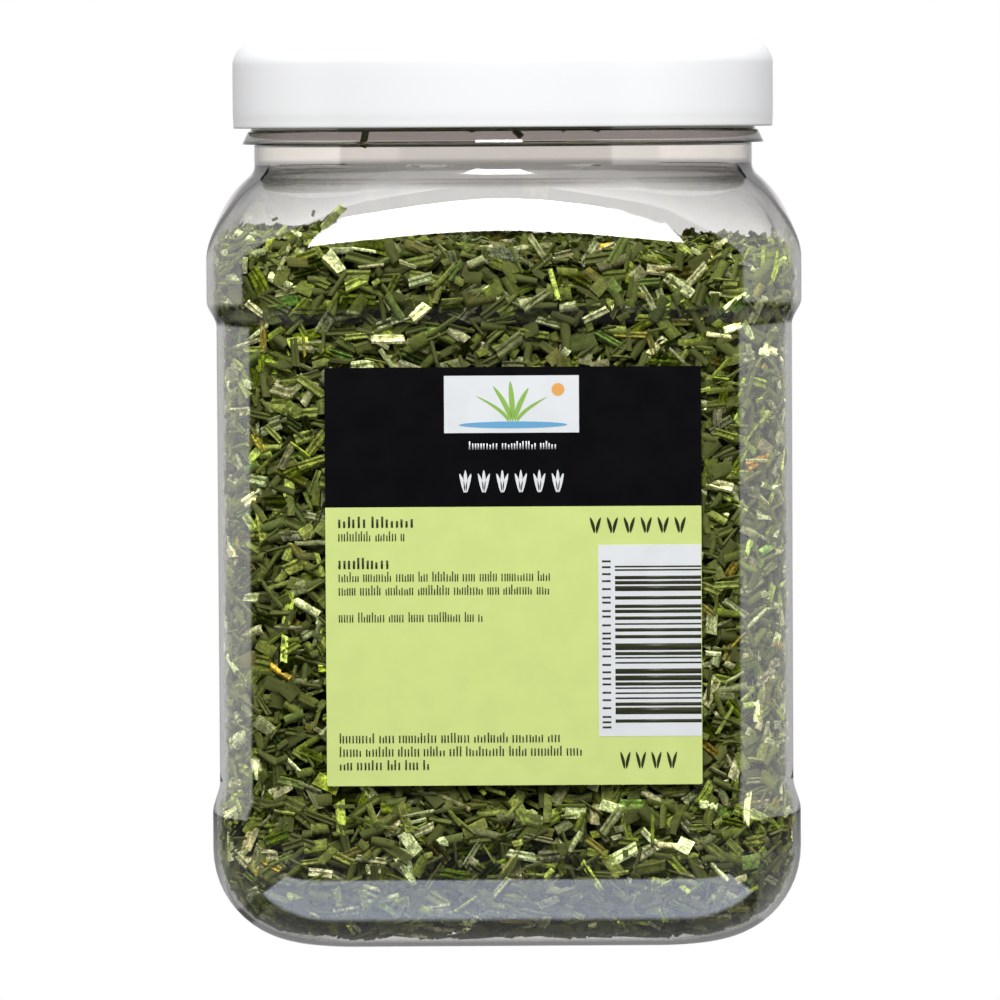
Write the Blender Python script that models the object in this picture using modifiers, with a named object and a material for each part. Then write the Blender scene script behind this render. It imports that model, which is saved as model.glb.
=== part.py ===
"""Jar of dried chives: a clear rounded-square jar with a white screw lid, a front label and its filling.

Metres, +Z up. The jar stands on Z = 0 with its axis on the Z axis and its labelled face towards -Y.
A section of the jar is a rounded square. It turns round towards the neck, by its squareness from 1 to 0.
"""

import math
import random

import bmesh
import bpy
from mathutils import Vector

# Jar: half-widths across the flats, and heights
WALL = 0.0010
STRAIGHT = 0.0318  # half of the flat stretch between two rounded corners
HEEL_HALF = 0.0485
HEEL_RADIUS = 0.0165
HEEL_TOP = 0.0224
WAIST_HALF = 0.0473
WAIST_BOTTOM = 0.0275
WAIST_TOP = 0.1025
SHOULDER_HALF = 0.0489
SHOULDER_BOTTOM = 0.1066
SHOULDER_TOP = 0.1138
SHOULDER_RADIUS = 0.0170
SHOULDER_SWEEP = math.radians(50)
SHOULDER_ROUNDING = 1.5  # how late in its rise the shoulder turns from square to round, as an exponent

# Foot: a flat ring to stand on, round a pushed-up middle
FOOT_CORNER = 0.0082
FOOT_INNER_HALF = 0.0270
PUSH_HALF = 0.0200
PUSH_RISE = 0.0022
PUSH_TOP = 0.0030

# Neck, its carrying bead and the finish that the lid screws on
NECK_RADIUS = 0.04195
NECK_FILLET = 0.0024
BEAD_BOTTOM = 0.1319
BEAD_EDGE = 0.1323
BEAD_TOP = 0.1343
BEAD_RADIUS = 0.0440
BEAD_TOP_RADIUS = 0.0430
FINISH_RADIUS = 0.0425
FINISH_TOP = 0.1464
BORE_RADIUS = 0.0405
RIM_ROUND = 0.0004

# Screw thread, right-handed, five turns to the inch
PITCH = 0.00508
THREAD_HEIGHT = 0.0012
THREAD_ROOT = 0.0022
THREAD_CREST = 0.0008
THREAD_SINK = 0.0005
THREAD_START = 0.1386
THREAD_TURNS = 1.0
THREAD_RUN_OUT = math.radians(20)
THREAD_END = math.radians(1.2)  # run-out that is cut off, so that the thread ends in a small face
THREAD_PHASE = math.radians(2.3)  # keeps the thread's facets off the edges of the wall's
LID_THREAD_DROP = 0.0016  # the lid's thread hangs under the jar's, just clear of it

# Lid and its sealing wad
LID_RADIUS = 0.0455
LID_BOTTOM = 0.1349
LID_TOP = 0.1494
LID_EDGE = 0.0040
LID_PANEL = 0.0014
LID_BORE = 0.0444
LID_RIM_STEP = 0.00017
LID_RIM_HEIGHT = 0.0013
LID_INNER_ROUND = 0.0008
LINER_RADIUS = 0.0436
LINER_BOTTOM = 0.1467
LINER_THICK = 0.0010

# Label on the front face
LABEL_WIDTH = 0.0611
LABEL_BOTTOM = 0.0280
LABEL_TOP = 0.0961
LABEL_OFFSET = 0.0013
LABEL_CORNER = 0.0010
LABEL_THICK = 0.0004
TOUCH_GAP = 0.0003

# Filling: a core in relief, covered with cut pieces of leaf that are larger than life
FILL_GAP = 0.0006
FILL_RELIEF = 0.0019
FILL_TOP = 0.1150
FILL_TILT = 0.035
FILL_WAVE = 0.0008
FILL_WAVE_TURNS = (70, 60)  # radians to the metre along X and Y
FILL_WAVE_START = 1.0
FILL_FLOOR_GAP = 0.0006
FILL_PUSH_GAP = 0.0009
CORE_TOP_DROP = 0.004
BIT_LENGTHS = (0.0120, 0.0160)
BIT_WIDTHS = (0.0062, 0.0078)
BIT_SINK = 0.0009
BIT_LEVELS = (0.0, 0.0008)
BIT_RIDGE_IN = 0.08  # how much shorter a bit's ridge is than its sides, as a share of its length
BIT_ROW = 0.0094
BIT_STEP = 0.0138
BIT_TURN = math.radians(48)
BIT_JITTER = 0.0014
BIT_JITTER_UP = 0.0010
BIT_TOP_MARGIN = 0.0056
TOP_BIT_LIFTS = (0.0014, 0.0026)
TOP_BIT_TIPS = (-0.10, 0.10)
TOP_EDGE_MARGIN = 0.0040
TOP_CORNER_MARGIN = 0.0008
TOP_BIT_MARGIN = 0.0060
TOP_STAGGER = 0.25
SEED = 19

# Facets
SIDE_STEPS = 5
CORNER_STEPS = 7
ROUND_STEPS = 4 * (SIDE_STEPS + CORNER_STEPS)
CORE_CORNER_STEPS = 3
SMOOTH_ANGLE = math.radians(35)
SKIN_STEP = 0.05  # facets to either side that give the skin's direction round the jar
SKIN_RISE = 0.0004
SMALLEST_CORNER = 1e-6


def clear_scene():
    for obj in list(bpy.data.objects):
        bpy.data.objects.remove(obj, do_unlink=True)


def new_collection(name):
    collection = bpy.data.collections.new(name)
    bpy.context.scene.collection.children.link(collection)
    return collection


def material(name, colour, roughness, metallic=0.0, transmission=0.0):
    made = bpy.data.materials.new(name)
    made.use_nodes = True
    shader = made.node_tree.nodes["Principled BSDF"]
    shader.inputs["Base Color"].default_value = (*colour, 1.0)
    shader.inputs["Roughness"].default_value = roughness
    shader.inputs["Metallic"].default_value = metallic
    shader.inputs["Transmission Weight"].default_value = transmission
    return made


def mesh_object(name, bm, collection, finish=None, smooth=SMOOTH_ANGLE):
    mesh = bpy.data.meshes.new(name)
    bm.to_mesh(mesh)
    bm.free()
    if smooth:
        mesh.shade_smooth()
        mesh.set_sharp_from_angle(angle=smooth)
    obj = bpy.data.objects.new(name, mesh)
    collection.objects.link(obj)
    if finish:
        mesh.materials.append(finish)
    return obj


def ease(start, end, steps):
    """Points of an S-curve between two (half-width, height) pairs, both ends included."""
    points = []
    for i in range(steps + 1):
        t = i / steps
        bend = t * t * (3 - 2 * t)
        points.append((start[0] + (end[0] - start[0]) * bend, start[1] + (end[1] - start[1]) * t))
    return points


def arc(centre, radius, first, last, steps):
    """(half-width, height) points on a circle, from angle first to last above the horizontal."""
    angles = [first + (last - first) * i / steps for i in range(steps + 1)]
    return [(centre[0] + radius * math.cos(a), centre[1] + radius * math.sin(a)) for a in angles]


def body_profile(inset, arc_steps=5, ease_steps=3):
    """The jar's sections from foot to neck as (half-width, height, straight, squareness), inset by a wall."""
    heel = arc((HEEL_HALF - HEEL_RADIUS, HEEL_RADIUS), HEEL_RADIUS - inset, -math.pi / 2, 0, arc_steps)
    into_waist = ease((HEEL_HALF - inset, HEEL_TOP), (WAIST_HALF - inset, WAIST_BOTTOM), ease_steps)
    out_of_waist = ease((WAIST_HALF - inset, WAIST_TOP), (SHOULDER_HALF - inset, SHOULDER_BOTTOM), ease_steps)
    centre = (SHOULDER_HALF - SHOULDER_RADIUS, SHOULDER_TOP)
    shoulder = arc(centre, SHOULDER_RADIUS - inset, 0, SHOULDER_SWEEP, arc_steps)
    slope = math.pi - SHOULDER_SWEEP
    turn_x = shoulder[-1][0] + NECK_FILLET * math.cos(SHOULDER_SWEEP)
    turn_z = shoulder[-1][1] + NECK_FILLET * math.sin(SHOULDER_SWEEP)
    fillet = arc((turn_x, turn_z), NECK_FILLET, slope + 2 * SHOULDER_SWEEP, math.pi, 2)[1:]
    sections = []
    for half, height in heel:
        drop = (HEEL_HALF - inset - half) / (HEEL_RADIUS - inset)
        straight = STRAIGHT - drop * (STRAIGHT - (HEEL_HALF - HEEL_RADIUS - FOOT_CORNER))
        sections.append((half, height, straight, 1.0))
    for half, height in into_waist + out_of_waist:
        sections.append((half, height, STRAIGHT, 1.0))
    for half, height in shoulder + fillet:
        risen = (height - SHOULDER_TOP) / (fillet[-1][1] - SHOULDER_TOP)
        sections.append((half, height, STRAIGHT, 1.0 - risen**SHOULDER_ROUNDING))
    return sections


def ring_point(half, straight, squareness, step):
    """A point of a section at a place counted in facets. Facet 0 begins the flat stretch of the +X face."""
    quadrant, along = divmod(step % ROUND_STEPS, SIDE_STEPS + CORNER_STEPS)
    straight = min(straight, half)
    corner = half - straight
    if along <= SIDE_STEPS:
        flat = Vector((half, straight * (2 * along / SIDE_STEPS - 1)))
    else:
        angle = math.pi / 2 * (along - SIDE_STEPS) / CORNER_STEPS
        flat = Vector((straight + corner * math.cos(angle), straight + corner * math.sin(angle)))
    angle = 2 * math.pi * (along - SIDE_STEPS / 2) / ROUND_STEPS
    circle = Vector((half * math.cos(angle), half * math.sin(angle)))
    point = circle.lerp(flat, squareness)
    for _ in range(int(quadrant)):
        point = Vector((-point.y, point.x))
    return point


def add_ring(bm, section, steps=range(ROUND_STEPS), height_of=None):
    """A ring of vertices at a section. height_of gives the height at a place, where it isn't the section's."""
    half, height, straight, squareness = section
    ring = []
    for step in steps:
        x, y = ring_point(half, straight, squareness, step)
        ring.append(bm.verts.new((x, y, height_of(x, y) if height_of else height)))
    return ring


def bridge(bm, lower, upper):
    count = len(lower)
    for i in range(count):
        j = (i + 1) % count
        bm.faces.new((lower[i], lower[j], upper[j], upper[i]))


def fan(bm, ring, centre, upwards):
    middle = bm.verts.new(centre)
    count = len(ring)
    for i in range(count):
        pair = (ring[i], ring[(i + 1) % count])
        bm.faces.new((*(pair if upwards else pair[::-1]), middle))


def round_section(radius, height):
    return (radius, height, 0.0, 0.0)


def foot_sections(inset):
    """The underside from the pushed-up middle out to the standing ring."""
    push = (PUSH_HALF, PUSH_RISE + inset, PUSH_HALF - FOOT_CORNER, 1.0)
    ring = (FOOT_INNER_HALF, inset, FOOT_INNER_HALF - FOOT_CORNER, 1.0)
    return [push, ring]


def helical_rib(bm, radius, outwards, start_height):
    """A thread of trapezoid section on a cylinder, whose height grows from nothing at both ends."""
    steps = ROUND_STEPS
    side = 1 if outwards else -1
    rings = []
    for i in range(int(steps * THREAD_TURNS) + 1):
        angle = 2 * math.pi * i / steps
        left = 2 * math.pi * THREAD_TURNS - angle
        grown = min(1.0, (min(angle, left) + THREAD_END) / THREAD_RUN_OUT)
        height = start_height + PITCH * angle / (2 * math.pi)
        root = radius - side * THREAD_SINK
        crest = radius + side * (THREAD_HEIGHT * grown)
        outline = [
            (root, -THREAD_ROOT / 2), (crest, -THREAD_CREST / 2), (crest, THREAD_CREST / 2), (root, THREAD_ROOT / 2),
        ]
        if not outwards:
            outline.reverse()
        place = angle + THREAD_PHASE
        rings.append([bm.verts.new((r * math.cos(place), r * math.sin(place), height + z)) for r, z in outline])
    for before, after in zip(rings, rings[1:]):
        for i in range(4):
            j = (i + 1) % 4
            bm.faces.new((before[i], after[i], after[j], before[j]))
    bm.faces.new(rings[0])
    bm.faces.new(rings[-1][::-1])
    bmesh.ops.recalc_face_normals(bm, faces=bm.faces)


def keep_largest(mesh):
    """Drops the loose scraps, and the sealed specks between crossing pieces, that a union leaves."""
    bm = bmesh.new()
    bm.from_mesh(mesh)
    islands = []
    seen = set()
    for start in bm.verts:
        if start in seen:
            continue
        seen.add(start)
        island = [start]
        for vertex in island:
            for edge in vertex.link_edges:
                other = edge.other_vert(vertex)
                if other not in seen:
                    seen.add(other)
                    island.append(other)
        islands.append(island)
    islands.sort(key=len)
    for island in islands[:-1]:
        bmesh.ops.delete(bm, geom=island, context="VERTS")
    bm.to_mesh(mesh)
    bm.free()


def unite(obj, collection, solver="EXACT"):
    """Fuses a collection's objects into one, applies its modifiers, and removes the collection."""
    modifier = obj.modifiers.new("unite", "BOOLEAN")
    modifier.operation = "UNION"
    modifier.operand_type = "COLLECTION"
    modifier.collection = collection
    modifier.solver = solver
    bpy.context.view_layer.update()
    graph = bpy.context.evaluated_depsgraph_get()
    fused = bpy.data.meshes.new_from_object(obj.evaluated_get(graph))
    obj.modifiers.clear()
    obj.data = fused
    keep_largest(fused)
    for part in list(collection.objects):
        bpy.data.objects.remove(part, do_unlink=True)
    bpy.data.collections.remove(collection)
    obj.data.shade_smooth()
    obj.data.set_sharp_from_angle(angle=SMOOTH_ANGLE)


def add_thread(obj, radius, outwards, start_height):
    helpers = new_collection(obj.name + "_thread")
    bm = bmesh.new()
    helical_rib(bm, radius, outwards, start_height)
    mesh_object(obj.name + "_rib", bm, helpers)
    unite(obj, helpers)


def build_jar(collection):
    outer = foot_sections(0.0) + body_profile(0.0)
    outer += [
        round_section(NECK_RADIUS, BEAD_BOTTOM),
        round_section(BEAD_RADIUS, BEAD_EDGE),
        round_section(BEAD_TOP_RADIUS, BEAD_TOP),
        round_section(FINISH_RADIUS, BEAD_TOP),
        round_section(FINISH_RADIUS, FINISH_TOP - RIM_ROUND),
        round_section(FINISH_RADIUS - RIM_ROUND, FINISH_TOP),
    ]
    inner = foot_sections(WALL) + body_profile(WALL, arc_steps=4, ease_steps=2)
    inner += [round_section(BORE_RADIUS, BEAD_BOTTOM), round_section(BORE_RADIUS, FINISH_TOP)]
    bm = bmesh.new()
    rings = [add_ring(bm, section) for section in outer + inner[::-1]]
    for before, after in zip(rings, rings[1:]):
        bridge(bm, before, after)
    fan(bm, rings[0], (0, 0, PUSH_TOP), upwards=False)
    fan(bm, rings[-1], (0, 0, PUSH_TOP + WALL), upwards=True)
    jar = mesh_object("jar_body", bm, collection, material("clear_plastic", (0.86, 0.87, 0.86), 0.05, 0.0, 1.0))
    add_thread(jar, FINISH_RADIUS, True, THREAD_START)
    return jar


def build_lid(collection):
    centre = (LID_RADIUS - LID_EDGE, LID_TOP - LID_EDGE)
    edge = arc(centre, LID_EDGE, math.pi / 2, 0, 5)
    panel_bottom = LID_TOP - LID_PANEL
    rim = LID_RADIUS - LID_RIM_STEP
    profile = [(0.0, LID_TOP), *edge]
    profile += [(LID_RADIUS, LID_BOTTOM + LID_RIM_HEIGHT), (rim, LID_BOTTOM + LID_RIM_HEIGHT - LID_RIM_STEP)]
    profile += [(rim, LID_BOTTOM), (LID_BORE, LID_BOTTOM), (LID_BORE, panel_bottom - LID_INNER_ROUND)]
    profile += [(LID_BORE - LID_INNER_ROUND, panel_bottom), (0.0, panel_bottom)]
    bm = bmesh.new()
    points = [bm.verts.new((radius, 0, height)) for radius, height in profile]
    for before, after in zip(points, points[1:]):
        bm.edges.new((before, after))
    lid = mesh_object("lid", bm, collection, material("white_plastic", (0.88, 0.89, 0.90), 0.25), smooth=None)
    screw = lid.modifiers.new("turned", "SCREW")
    screw.steps = screw.render_steps = ROUND_STEPS
    screw.use_merge_vertices = True
    screw.merge_threshold = 0.00001
    add_thread(lid, LID_BORE, False, THREAD_START - LID_THREAD_DROP)
    return lid


def build_liner(collection):
    bm = bmesh.new()
    bmesh.ops.create_cone(
        bm, cap_ends=True, segments=ROUND_STEPS, radius1=LINER_RADIUS, radius2=LINER_RADIUS, depth=LINER_THICK
    )
    bmesh.ops.translate(bm, vec=(0, 0, LINER_BOTTOM + LINER_THICK / 2), verts=bm.verts)
    return mesh_object("lid_liner", bm, collection, material("sealing_wad", (0.80, 0.80, 0.78), 0.7))


def build_label(collection):
    height = LABEL_TOP - LABEL_BOTTOM
    bm = bmesh.new()
    bmesh.ops.create_cube(bm, size=1.0)
    bmesh.ops.scale(bm, vec=(LABEL_WIDTH, LABEL_THICK, height), verts=bm.verts)
    corners = [e for e in bm.edges if abs(e.verts[0].co.y - e.verts[1].co.y) > LABEL_THICK / 2]
    bmesh.ops.bevel(bm, geom=corners, offset=LABEL_CORNER, segments=4, affect="EDGES", profile=0.5)
    front = -(WAIST_HALF + TOUCH_GAP + LABEL_THICK / 2)
    bmesh.ops.translate(bm, vec=(LABEL_OFFSET, front, LABEL_BOTTOM + height / 2), verts=bm.verts)
    return mesh_object("label", bm, collection, material("printed_label", (0.62, 0.73, 0.26), 0.45))


def fill_height(x, y):
    """The filling's top surface: tipped a little down to +X, and heaped a little in waves."""
    wave = FILL_WAVE * math.sin(FILL_WAVE_TURNS[0] * x + FILL_WAVE_START) * math.cos(FILL_WAVE_TURNS[1] * y)
    return FILL_TOP - FILL_TILT * x + wave


class Skin:
    """The inside of the jar's wall, read by distance round it and distance up it."""

    def __init__(self):
        self.sections = body_profile(WALL + FILL_GAP, arc_steps=8)
        self.lengths = [0.0]
        for before, after in zip(self.sections, self.sections[1:]):
            step = math.hypot(after[0] - before[0], after[1] - before[1])
            self.lengths.append(self.lengths[-1] + step)

    def section(self, up):
        """The section at a distance up the wall from the edge of the foot."""
        last = len(self.sections) - 1
        i = 0
        while i < last - 1 and self.lengths[i + 1] < up:
            i += 1
        span = self.lengths[i + 1] - self.lengths[i]
        t = (up - self.lengths[i]) / span
        return [a + (b - a) * t for a, b in zip(self.sections[i], self.sections[i + 1])]

    def place(self, up, round_step):
        half, height, straight, squareness = self.section(up)
        x, y = ring_point(half, straight, squareness, round_step)
        return Vector((x, y, height))

    def step_for(self, up, distance):
        """The place round the ring, in facets, at a distance round it from the start of the +X face."""
        half, _, straight, _ = self.section(up)
        straight = min(straight, half)
        side = 2 * straight
        corner = (half - straight) * math.pi / 2
        quadrant, rest = divmod(distance, side + corner)
        if rest < side:
            along = SIDE_STEPS * rest / side
        else:
            along = SIDE_STEPS + CORNER_STEPS * (rest - side) / max(corner, SMALLEST_CORNER)
        return quadrant * (SIDE_STEPS + CORNER_STEPS) + along

    def girth(self, up):
        half, _, straight, _ = self.section(up)
        straight = min(straight, half)
        return 8 * straight + 2 * math.pi * (half - straight)

    def point(self, up, distance, depth):
        """A point under the skin, at a depth along its inward normal."""
        step = self.step_for(up, distance)
        here = self.place(up, step)
        along = self.place(up, step + SKIN_STEP) - self.place(up, step - SKIN_STEP)
        rise = self.place(up + SKIN_RISE, step) - self.place(up - SKIN_RISE, step)
        normal = along.cross(rise).normalized()
        return here - normal * depth


def add_bit(helpers, base, ridge):
    """A cut piece of hollow leaf, as a roof-shaped solid on four base corners with a ridge of two ends."""
    bm = bmesh.new()
    base = [bm.verts.new(p) for p in base]
    start, end = [bm.verts.new(p) for p in ridge]
    bm.faces.new(base[::-1])
    bm.faces.new((base[0], base[1], end, start))
    bm.faces.new((base[2], base[3], start, end))
    bm.faces.new((base[1], base[2], end))
    bm.faces.new((base[3], base[0], start))
    bmesh.ops.triangulate(bm, faces=bm.faces)
    bmesh.ops.recalc_face_normals(bm, faces=bm.faces)
    mesh_object("bit", bm, helpers, smooth=None)


def bit_outline(draw, turn):
    """The four base corners and two ridge ends of a bit about its middle, turned in its own plane."""
    length = draw.uniform(*BIT_LENGTHS) / 2
    width = draw.uniform(*BIT_WIDTHS) / 2
    along = Vector((math.cos(turn), math.sin(turn))) * length
    across = Vector((-math.sin(turn), math.cos(turn))) * width
    ridge = along * (1 - 2 * BIT_RIDGE_IN)
    return [-along - across, along - across, along + across, across - along], [-ridge, ridge]


def cover_wall(helpers, skin, draw):
    """Bits in staggered rows up the wall, each laid flat under the skin and turned its own way."""
    up = skin.lengths[1] + BIT_ROW / 2
    row = 0
    while skin.section(up)[1] < FILL_TOP - BIT_TOP_MARGIN:
        girth = skin.girth(up)
        count = round(girth / BIT_STEP)
        for i in range(count):
            distance = (i + 0.5 * (row % 2)) * girth / count + draw.uniform(-BIT_JITTER, BIT_JITTER)
            middle = up + draw.uniform(-BIT_JITTER_UP, BIT_JITTER_UP)
            outline, ridge = bit_outline(draw, draw.uniform(-BIT_TURN, BIT_TURN))
            level = draw.uniform(*BIT_LEVELS)
            base = [skin.point(middle + c.y, distance + c.x, FILL_RELIEF + BIT_SINK) for c in outline]
            back = [skin.point(middle + c.y, distance + c.x, level) for c in ridge]
            add_bit(helpers, base, back)
        up += BIT_ROW
        row += 1


def cover_top(helpers, draw):
    """Bits strewn on the top surface, in rows, each tipped a little."""
    reach = SHOULDER_HALF - WALL - FILL_GAP - FILL_RELIEF
    rows = int(2 * reach / BIT_ROW)
    for row in range(rows):
        y = -reach + (row + 0.5) * 2 * reach / rows
        across = reach - TOP_EDGE_MARGIN
        count = int(2 * across / BIT_STEP)
        for i in range(count):
            x = -across + (i + 0.5 + TOP_STAGGER * (-1) ** row) * 2 * across / count
            x += draw.uniform(-BIT_JITTER, BIT_JITTER)
            outline, ridge = bit_outline(draw, draw.uniform(0, math.pi))
            reached = max(math.hypot(max(abs(x + c.x) - STRAIGHT, 0), max(abs(y + c.y) - STRAIGHT, 0)) for c in outline)
            if reached > reach - STRAIGHT - TOP_CORNER_MARGIN or max(abs(x), abs(y)) > reach - TOP_BIT_MARGIN:
                continue
            lift = draw.uniform(*TOP_BIT_LIFTS)
            tip = draw.uniform(*TOP_BIT_TIPS)
            level = fill_height(x, y)
            base = [(x + c.x, y + c.y, level + tip * c.x - 2 * BIT_SINK) for c in outline]
            back = [(x + c.x, y + c.y, level + tip * c.x + lift) for c in ridge]
            add_bit(helpers, base, back)


def build_chives(collection):
    depth = WALL + FILL_GAP + FILL_RELIEF
    bm = bmesh.new()
    floor = WALL + FILL_FLOOR_GAP
    low = [
        (PUSH_HALF, PUSH_RISE + WALL + FILL_PUSH_GAP, PUSH_HALF - FOOT_CORNER, 1.0),
        (FOOT_INNER_HALF, floor, FOOT_INNER_HALF - FOOT_CORNER, 1.0),
    ]
    wall = [s for s in body_profile(depth, arc_steps=3, ease_steps=1) if s[1] < FILL_TOP - CORE_TOP_DROP]
    wall[0] = (wall[0][0], floor, wall[0][2], 1.0)
    quadrant = [0] + [SIDE_STEPS + CORNER_STEPS * i / CORE_CORNER_STEPS for i in range(CORE_CORNER_STEPS)]
    steps = [q * (SIDE_STEPS + CORNER_STEPS) + step for q in range(4) for step in quadrant]
    rings = [add_ring(bm, section, steps) for section in low + wall]
    half, _, straight, squareness = wall[-1]
    for share in (1.0, 0.5):
        section = (half * share, 0, straight * share, squareness)
        rings.append(add_ring(bm, section, steps, height_of=fill_height))
    for before, after in zip(rings, rings[1:]):
        bridge(bm, before, after)
    fan(bm, rings[0], (0, 0, PUSH_TOP + floor), upwards=False)
    fan(bm, rings[-1], (0, 0, fill_height(0, 0)), upwards=True)
    bmesh.ops.recalc_face_normals(bm, faces=bm.faces)
    chives = mesh_object("chives", bm, collection, material("dried_chives", (0.09, 0.13, 0.03), 0.85))
    helpers = new_collection("bits")
    draw = random.Random(SEED)
    cover_wall(helpers, Skin(), draw)
    cover_top(helpers, draw)
    unite(chives, helpers, solver="MANIFOLD")
    chives.data.materials.clear()
    chives.data.materials.append(bpy.data.materials["dried_chives"])
    return chives


def main():
    clear_scene()
    collection = new_collection("jar_of_dried_chives")
    build_jar(collection)
    build_lid(collection)
    build_liner(collection)
    build_label(collection)
    build_chives(collection)


main()
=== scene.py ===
"""The looks of a jar of dried chives: clear jar, white screw lid, printed label and chopped filling.

Metres, +Z up, the label towards -Y. Every piece has its place in its mesh, so that each finished
object sits at the origin.
"""

import logging
import math
from dataclasses import dataclass, field
from enum import Enum
from typing import Sequence

import bmesh
import bpy
import numpy as np
from mathutils import Matrix, Vector

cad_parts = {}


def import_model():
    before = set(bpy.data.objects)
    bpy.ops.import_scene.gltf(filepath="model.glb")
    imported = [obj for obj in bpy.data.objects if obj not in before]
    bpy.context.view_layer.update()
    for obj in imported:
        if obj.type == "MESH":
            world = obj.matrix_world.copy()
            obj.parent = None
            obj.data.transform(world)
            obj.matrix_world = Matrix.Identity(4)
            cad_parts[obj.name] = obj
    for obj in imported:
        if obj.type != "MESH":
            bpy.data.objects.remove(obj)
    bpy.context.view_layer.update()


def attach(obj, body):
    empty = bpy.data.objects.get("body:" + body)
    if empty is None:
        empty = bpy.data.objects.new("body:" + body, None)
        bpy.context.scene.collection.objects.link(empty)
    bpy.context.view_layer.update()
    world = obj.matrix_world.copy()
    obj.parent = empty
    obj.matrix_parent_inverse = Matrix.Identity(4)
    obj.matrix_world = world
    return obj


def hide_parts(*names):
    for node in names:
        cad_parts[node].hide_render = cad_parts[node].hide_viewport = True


LOG = logging.getLogger("chive_jar")
Point = tuple[float, float, float]
Colour = tuple[float, float, float]
Outline = list[tuple[float, float]]


class Body(str, Enum):
    """The moving bodies of the frame that a piece can ride on."""

    JAR = "jar"
    LID = "lid"
    LINER = "liner"


class Slot(str, Enum):
    """The record's material slots."""

    CLEAR = "clear_plastic"
    WHITE = "white_plastic"
    WAD = "sealing_wad"
    PRINT = "printed_label"
    LEAF = "dried_chives"


# Mesh helpers


def deselect_all() -> None:
    """Leave nothing selected, so that an operator acts only on what is chosen next."""
    if bpy.context.mode != "OBJECT":
        bpy.ops.object.mode_set(mode="OBJECT")
    bpy.ops.object.select_all(action="DESELECT")


def choose(obj: bpy.types.Object) -> None:
    """Make one object the only selected and the active one.

    Args:
        obj: The object to choose.
    """
    deselect_all()
    obj.select_set(True)
    bpy.context.view_layer.objects.active = obj


def apply_modifiers(obj: bpy.types.Object) -> None:
    """Apply all of an object's modifiers, in order.

    Args:
        obj: The object whose modifiers are applied.
    """
    choose(obj)
    for modifier in list(obj.modifiers):
        bpy.ops.object.modifier_apply(modifier=modifier.name)


def smooth(obj: bpy.types.Object, angle: float = math.radians(35)) -> None:
    """Shade an object smooth, with edges sharper than an angle left sharp.

    Args:
        obj: The object to shade.
        angle: The least angle between faces that stays sharp.
    """
    choose(obj)
    bpy.ops.object.shade_smooth_by_angle(angle=angle)


def loft(name: str, rings: Sequence[Sequence[Point]], join_ends: bool = False) -> bpy.types.Object:
    """Extrude a circle through rings of places, and close it.

    Args:
        name: The new object's name.
        rings: The rings, each with the same number of points in the same order.
        join_ends: Whether the last ring is bridged to the first. Otherwise both get a flat cap.

    Returns:
        The closed mesh object.
    """
    count = len(rings[0])
    deselect_all()
    bpy.ops.mesh.primitive_circle_add(vertices=count, radius=1.0, fill_type="NOTHING")
    obj = bpy.context.active_object
    obj.name = obj.data.name = name
    bpy.ops.object.mode_set(mode="EDIT")
    bpy.ops.mesh.select_mode(type="VERT")
    mesh = bmesh.from_edit_mesh(obj.data)
    mesh.verts.ensure_lookup_table()
    order = list(range(count))
    for index, place in zip(order, rings[0]):
        mesh.verts[index].co = place
    for ring in rings[1:]:
        bpy.ops.mesh.extrude_region_move()
        mesh = bmesh.from_edit_mesh(obj.data)
        mesh.verts.ensure_lookup_table()
        follows = {}
        for vertex in mesh.verts:
            if vertex.select:
                for edge in vertex.link_edges:
                    other = edge.other_vert(vertex)
                    if not other.select:
                        follows[other.index] = vertex.index
        order = [follows[index] for index in order]
        for index, place in zip(order, ring):
            mesh.verts[index].co = place
    bmesh.update_edit_mesh(obj.data)
    bpy.ops.mesh.select_all(action="DESELECT")
    bpy.ops.mesh.select_mode(type="EDGE")
    bpy.ops.mesh.select_non_manifold(extend=False, use_boundary=True, use_wire=False, use_multi_face=False,
                                     use_non_contiguous=False, use_verts=False)
    if join_ends:
        bpy.ops.mesh.bridge_edge_loops()
    else:
        bpy.ops.mesh.edge_face_add()
    bpy.ops.mesh.select_all(action="SELECT")
    bpy.ops.mesh.normals_make_consistent(inside=False)
    bpy.ops.object.mode_set(mode="OBJECT")
    return obj


def turn(name: str, profile: Sequence[tuple[float, float]], steps: int) -> bpy.types.Object:
    """Turn a profile of (radius, height) points about the Z axis.

    Args:
        name: The new object's name.
        profile: The outline, from the axis or back to its own start.
        steps: The number of facets round the axis.

    Returns:
        The closed mesh object.
    """
    deselect_all()
    bpy.ops.mesh.primitive_plane_add(size=0.001)
    obj = bpy.context.active_object
    obj.name = obj.data.name = name
    bpy.ops.object.mode_set(mode="EDIT")
    bpy.ops.mesh.select_mode(type="VERT")
    bpy.ops.mesh.select_all(action="SELECT")
    bpy.ops.mesh.merge(type="CENTER")
    radius, height = profile[0]
    bpy.ops.transform.translate(value=(radius, 0, height))
    for (radius, height), (next_radius, next_height) in zip(profile, profile[1:]):
        step = (next_radius - radius, 0, next_height - height)
        bpy.ops.mesh.extrude_region_move(TRANSFORM_OT_translate={"value": step})
    bpy.ops.mesh.select_all(action="SELECT")
    bpy.ops.mesh.spin(steps=steps, angle=2 * math.pi, center=(0, 0, 0), axis=(0, 0, 1))
    bpy.ops.mesh.select_all(action="SELECT")
    bpy.ops.mesh.remove_doubles(threshold=0.000002)
    bpy.ops.mesh.normals_make_consistent(inside=False)
    bpy.ops.object.mode_set(mode="OBJECT")
    return obj


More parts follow.
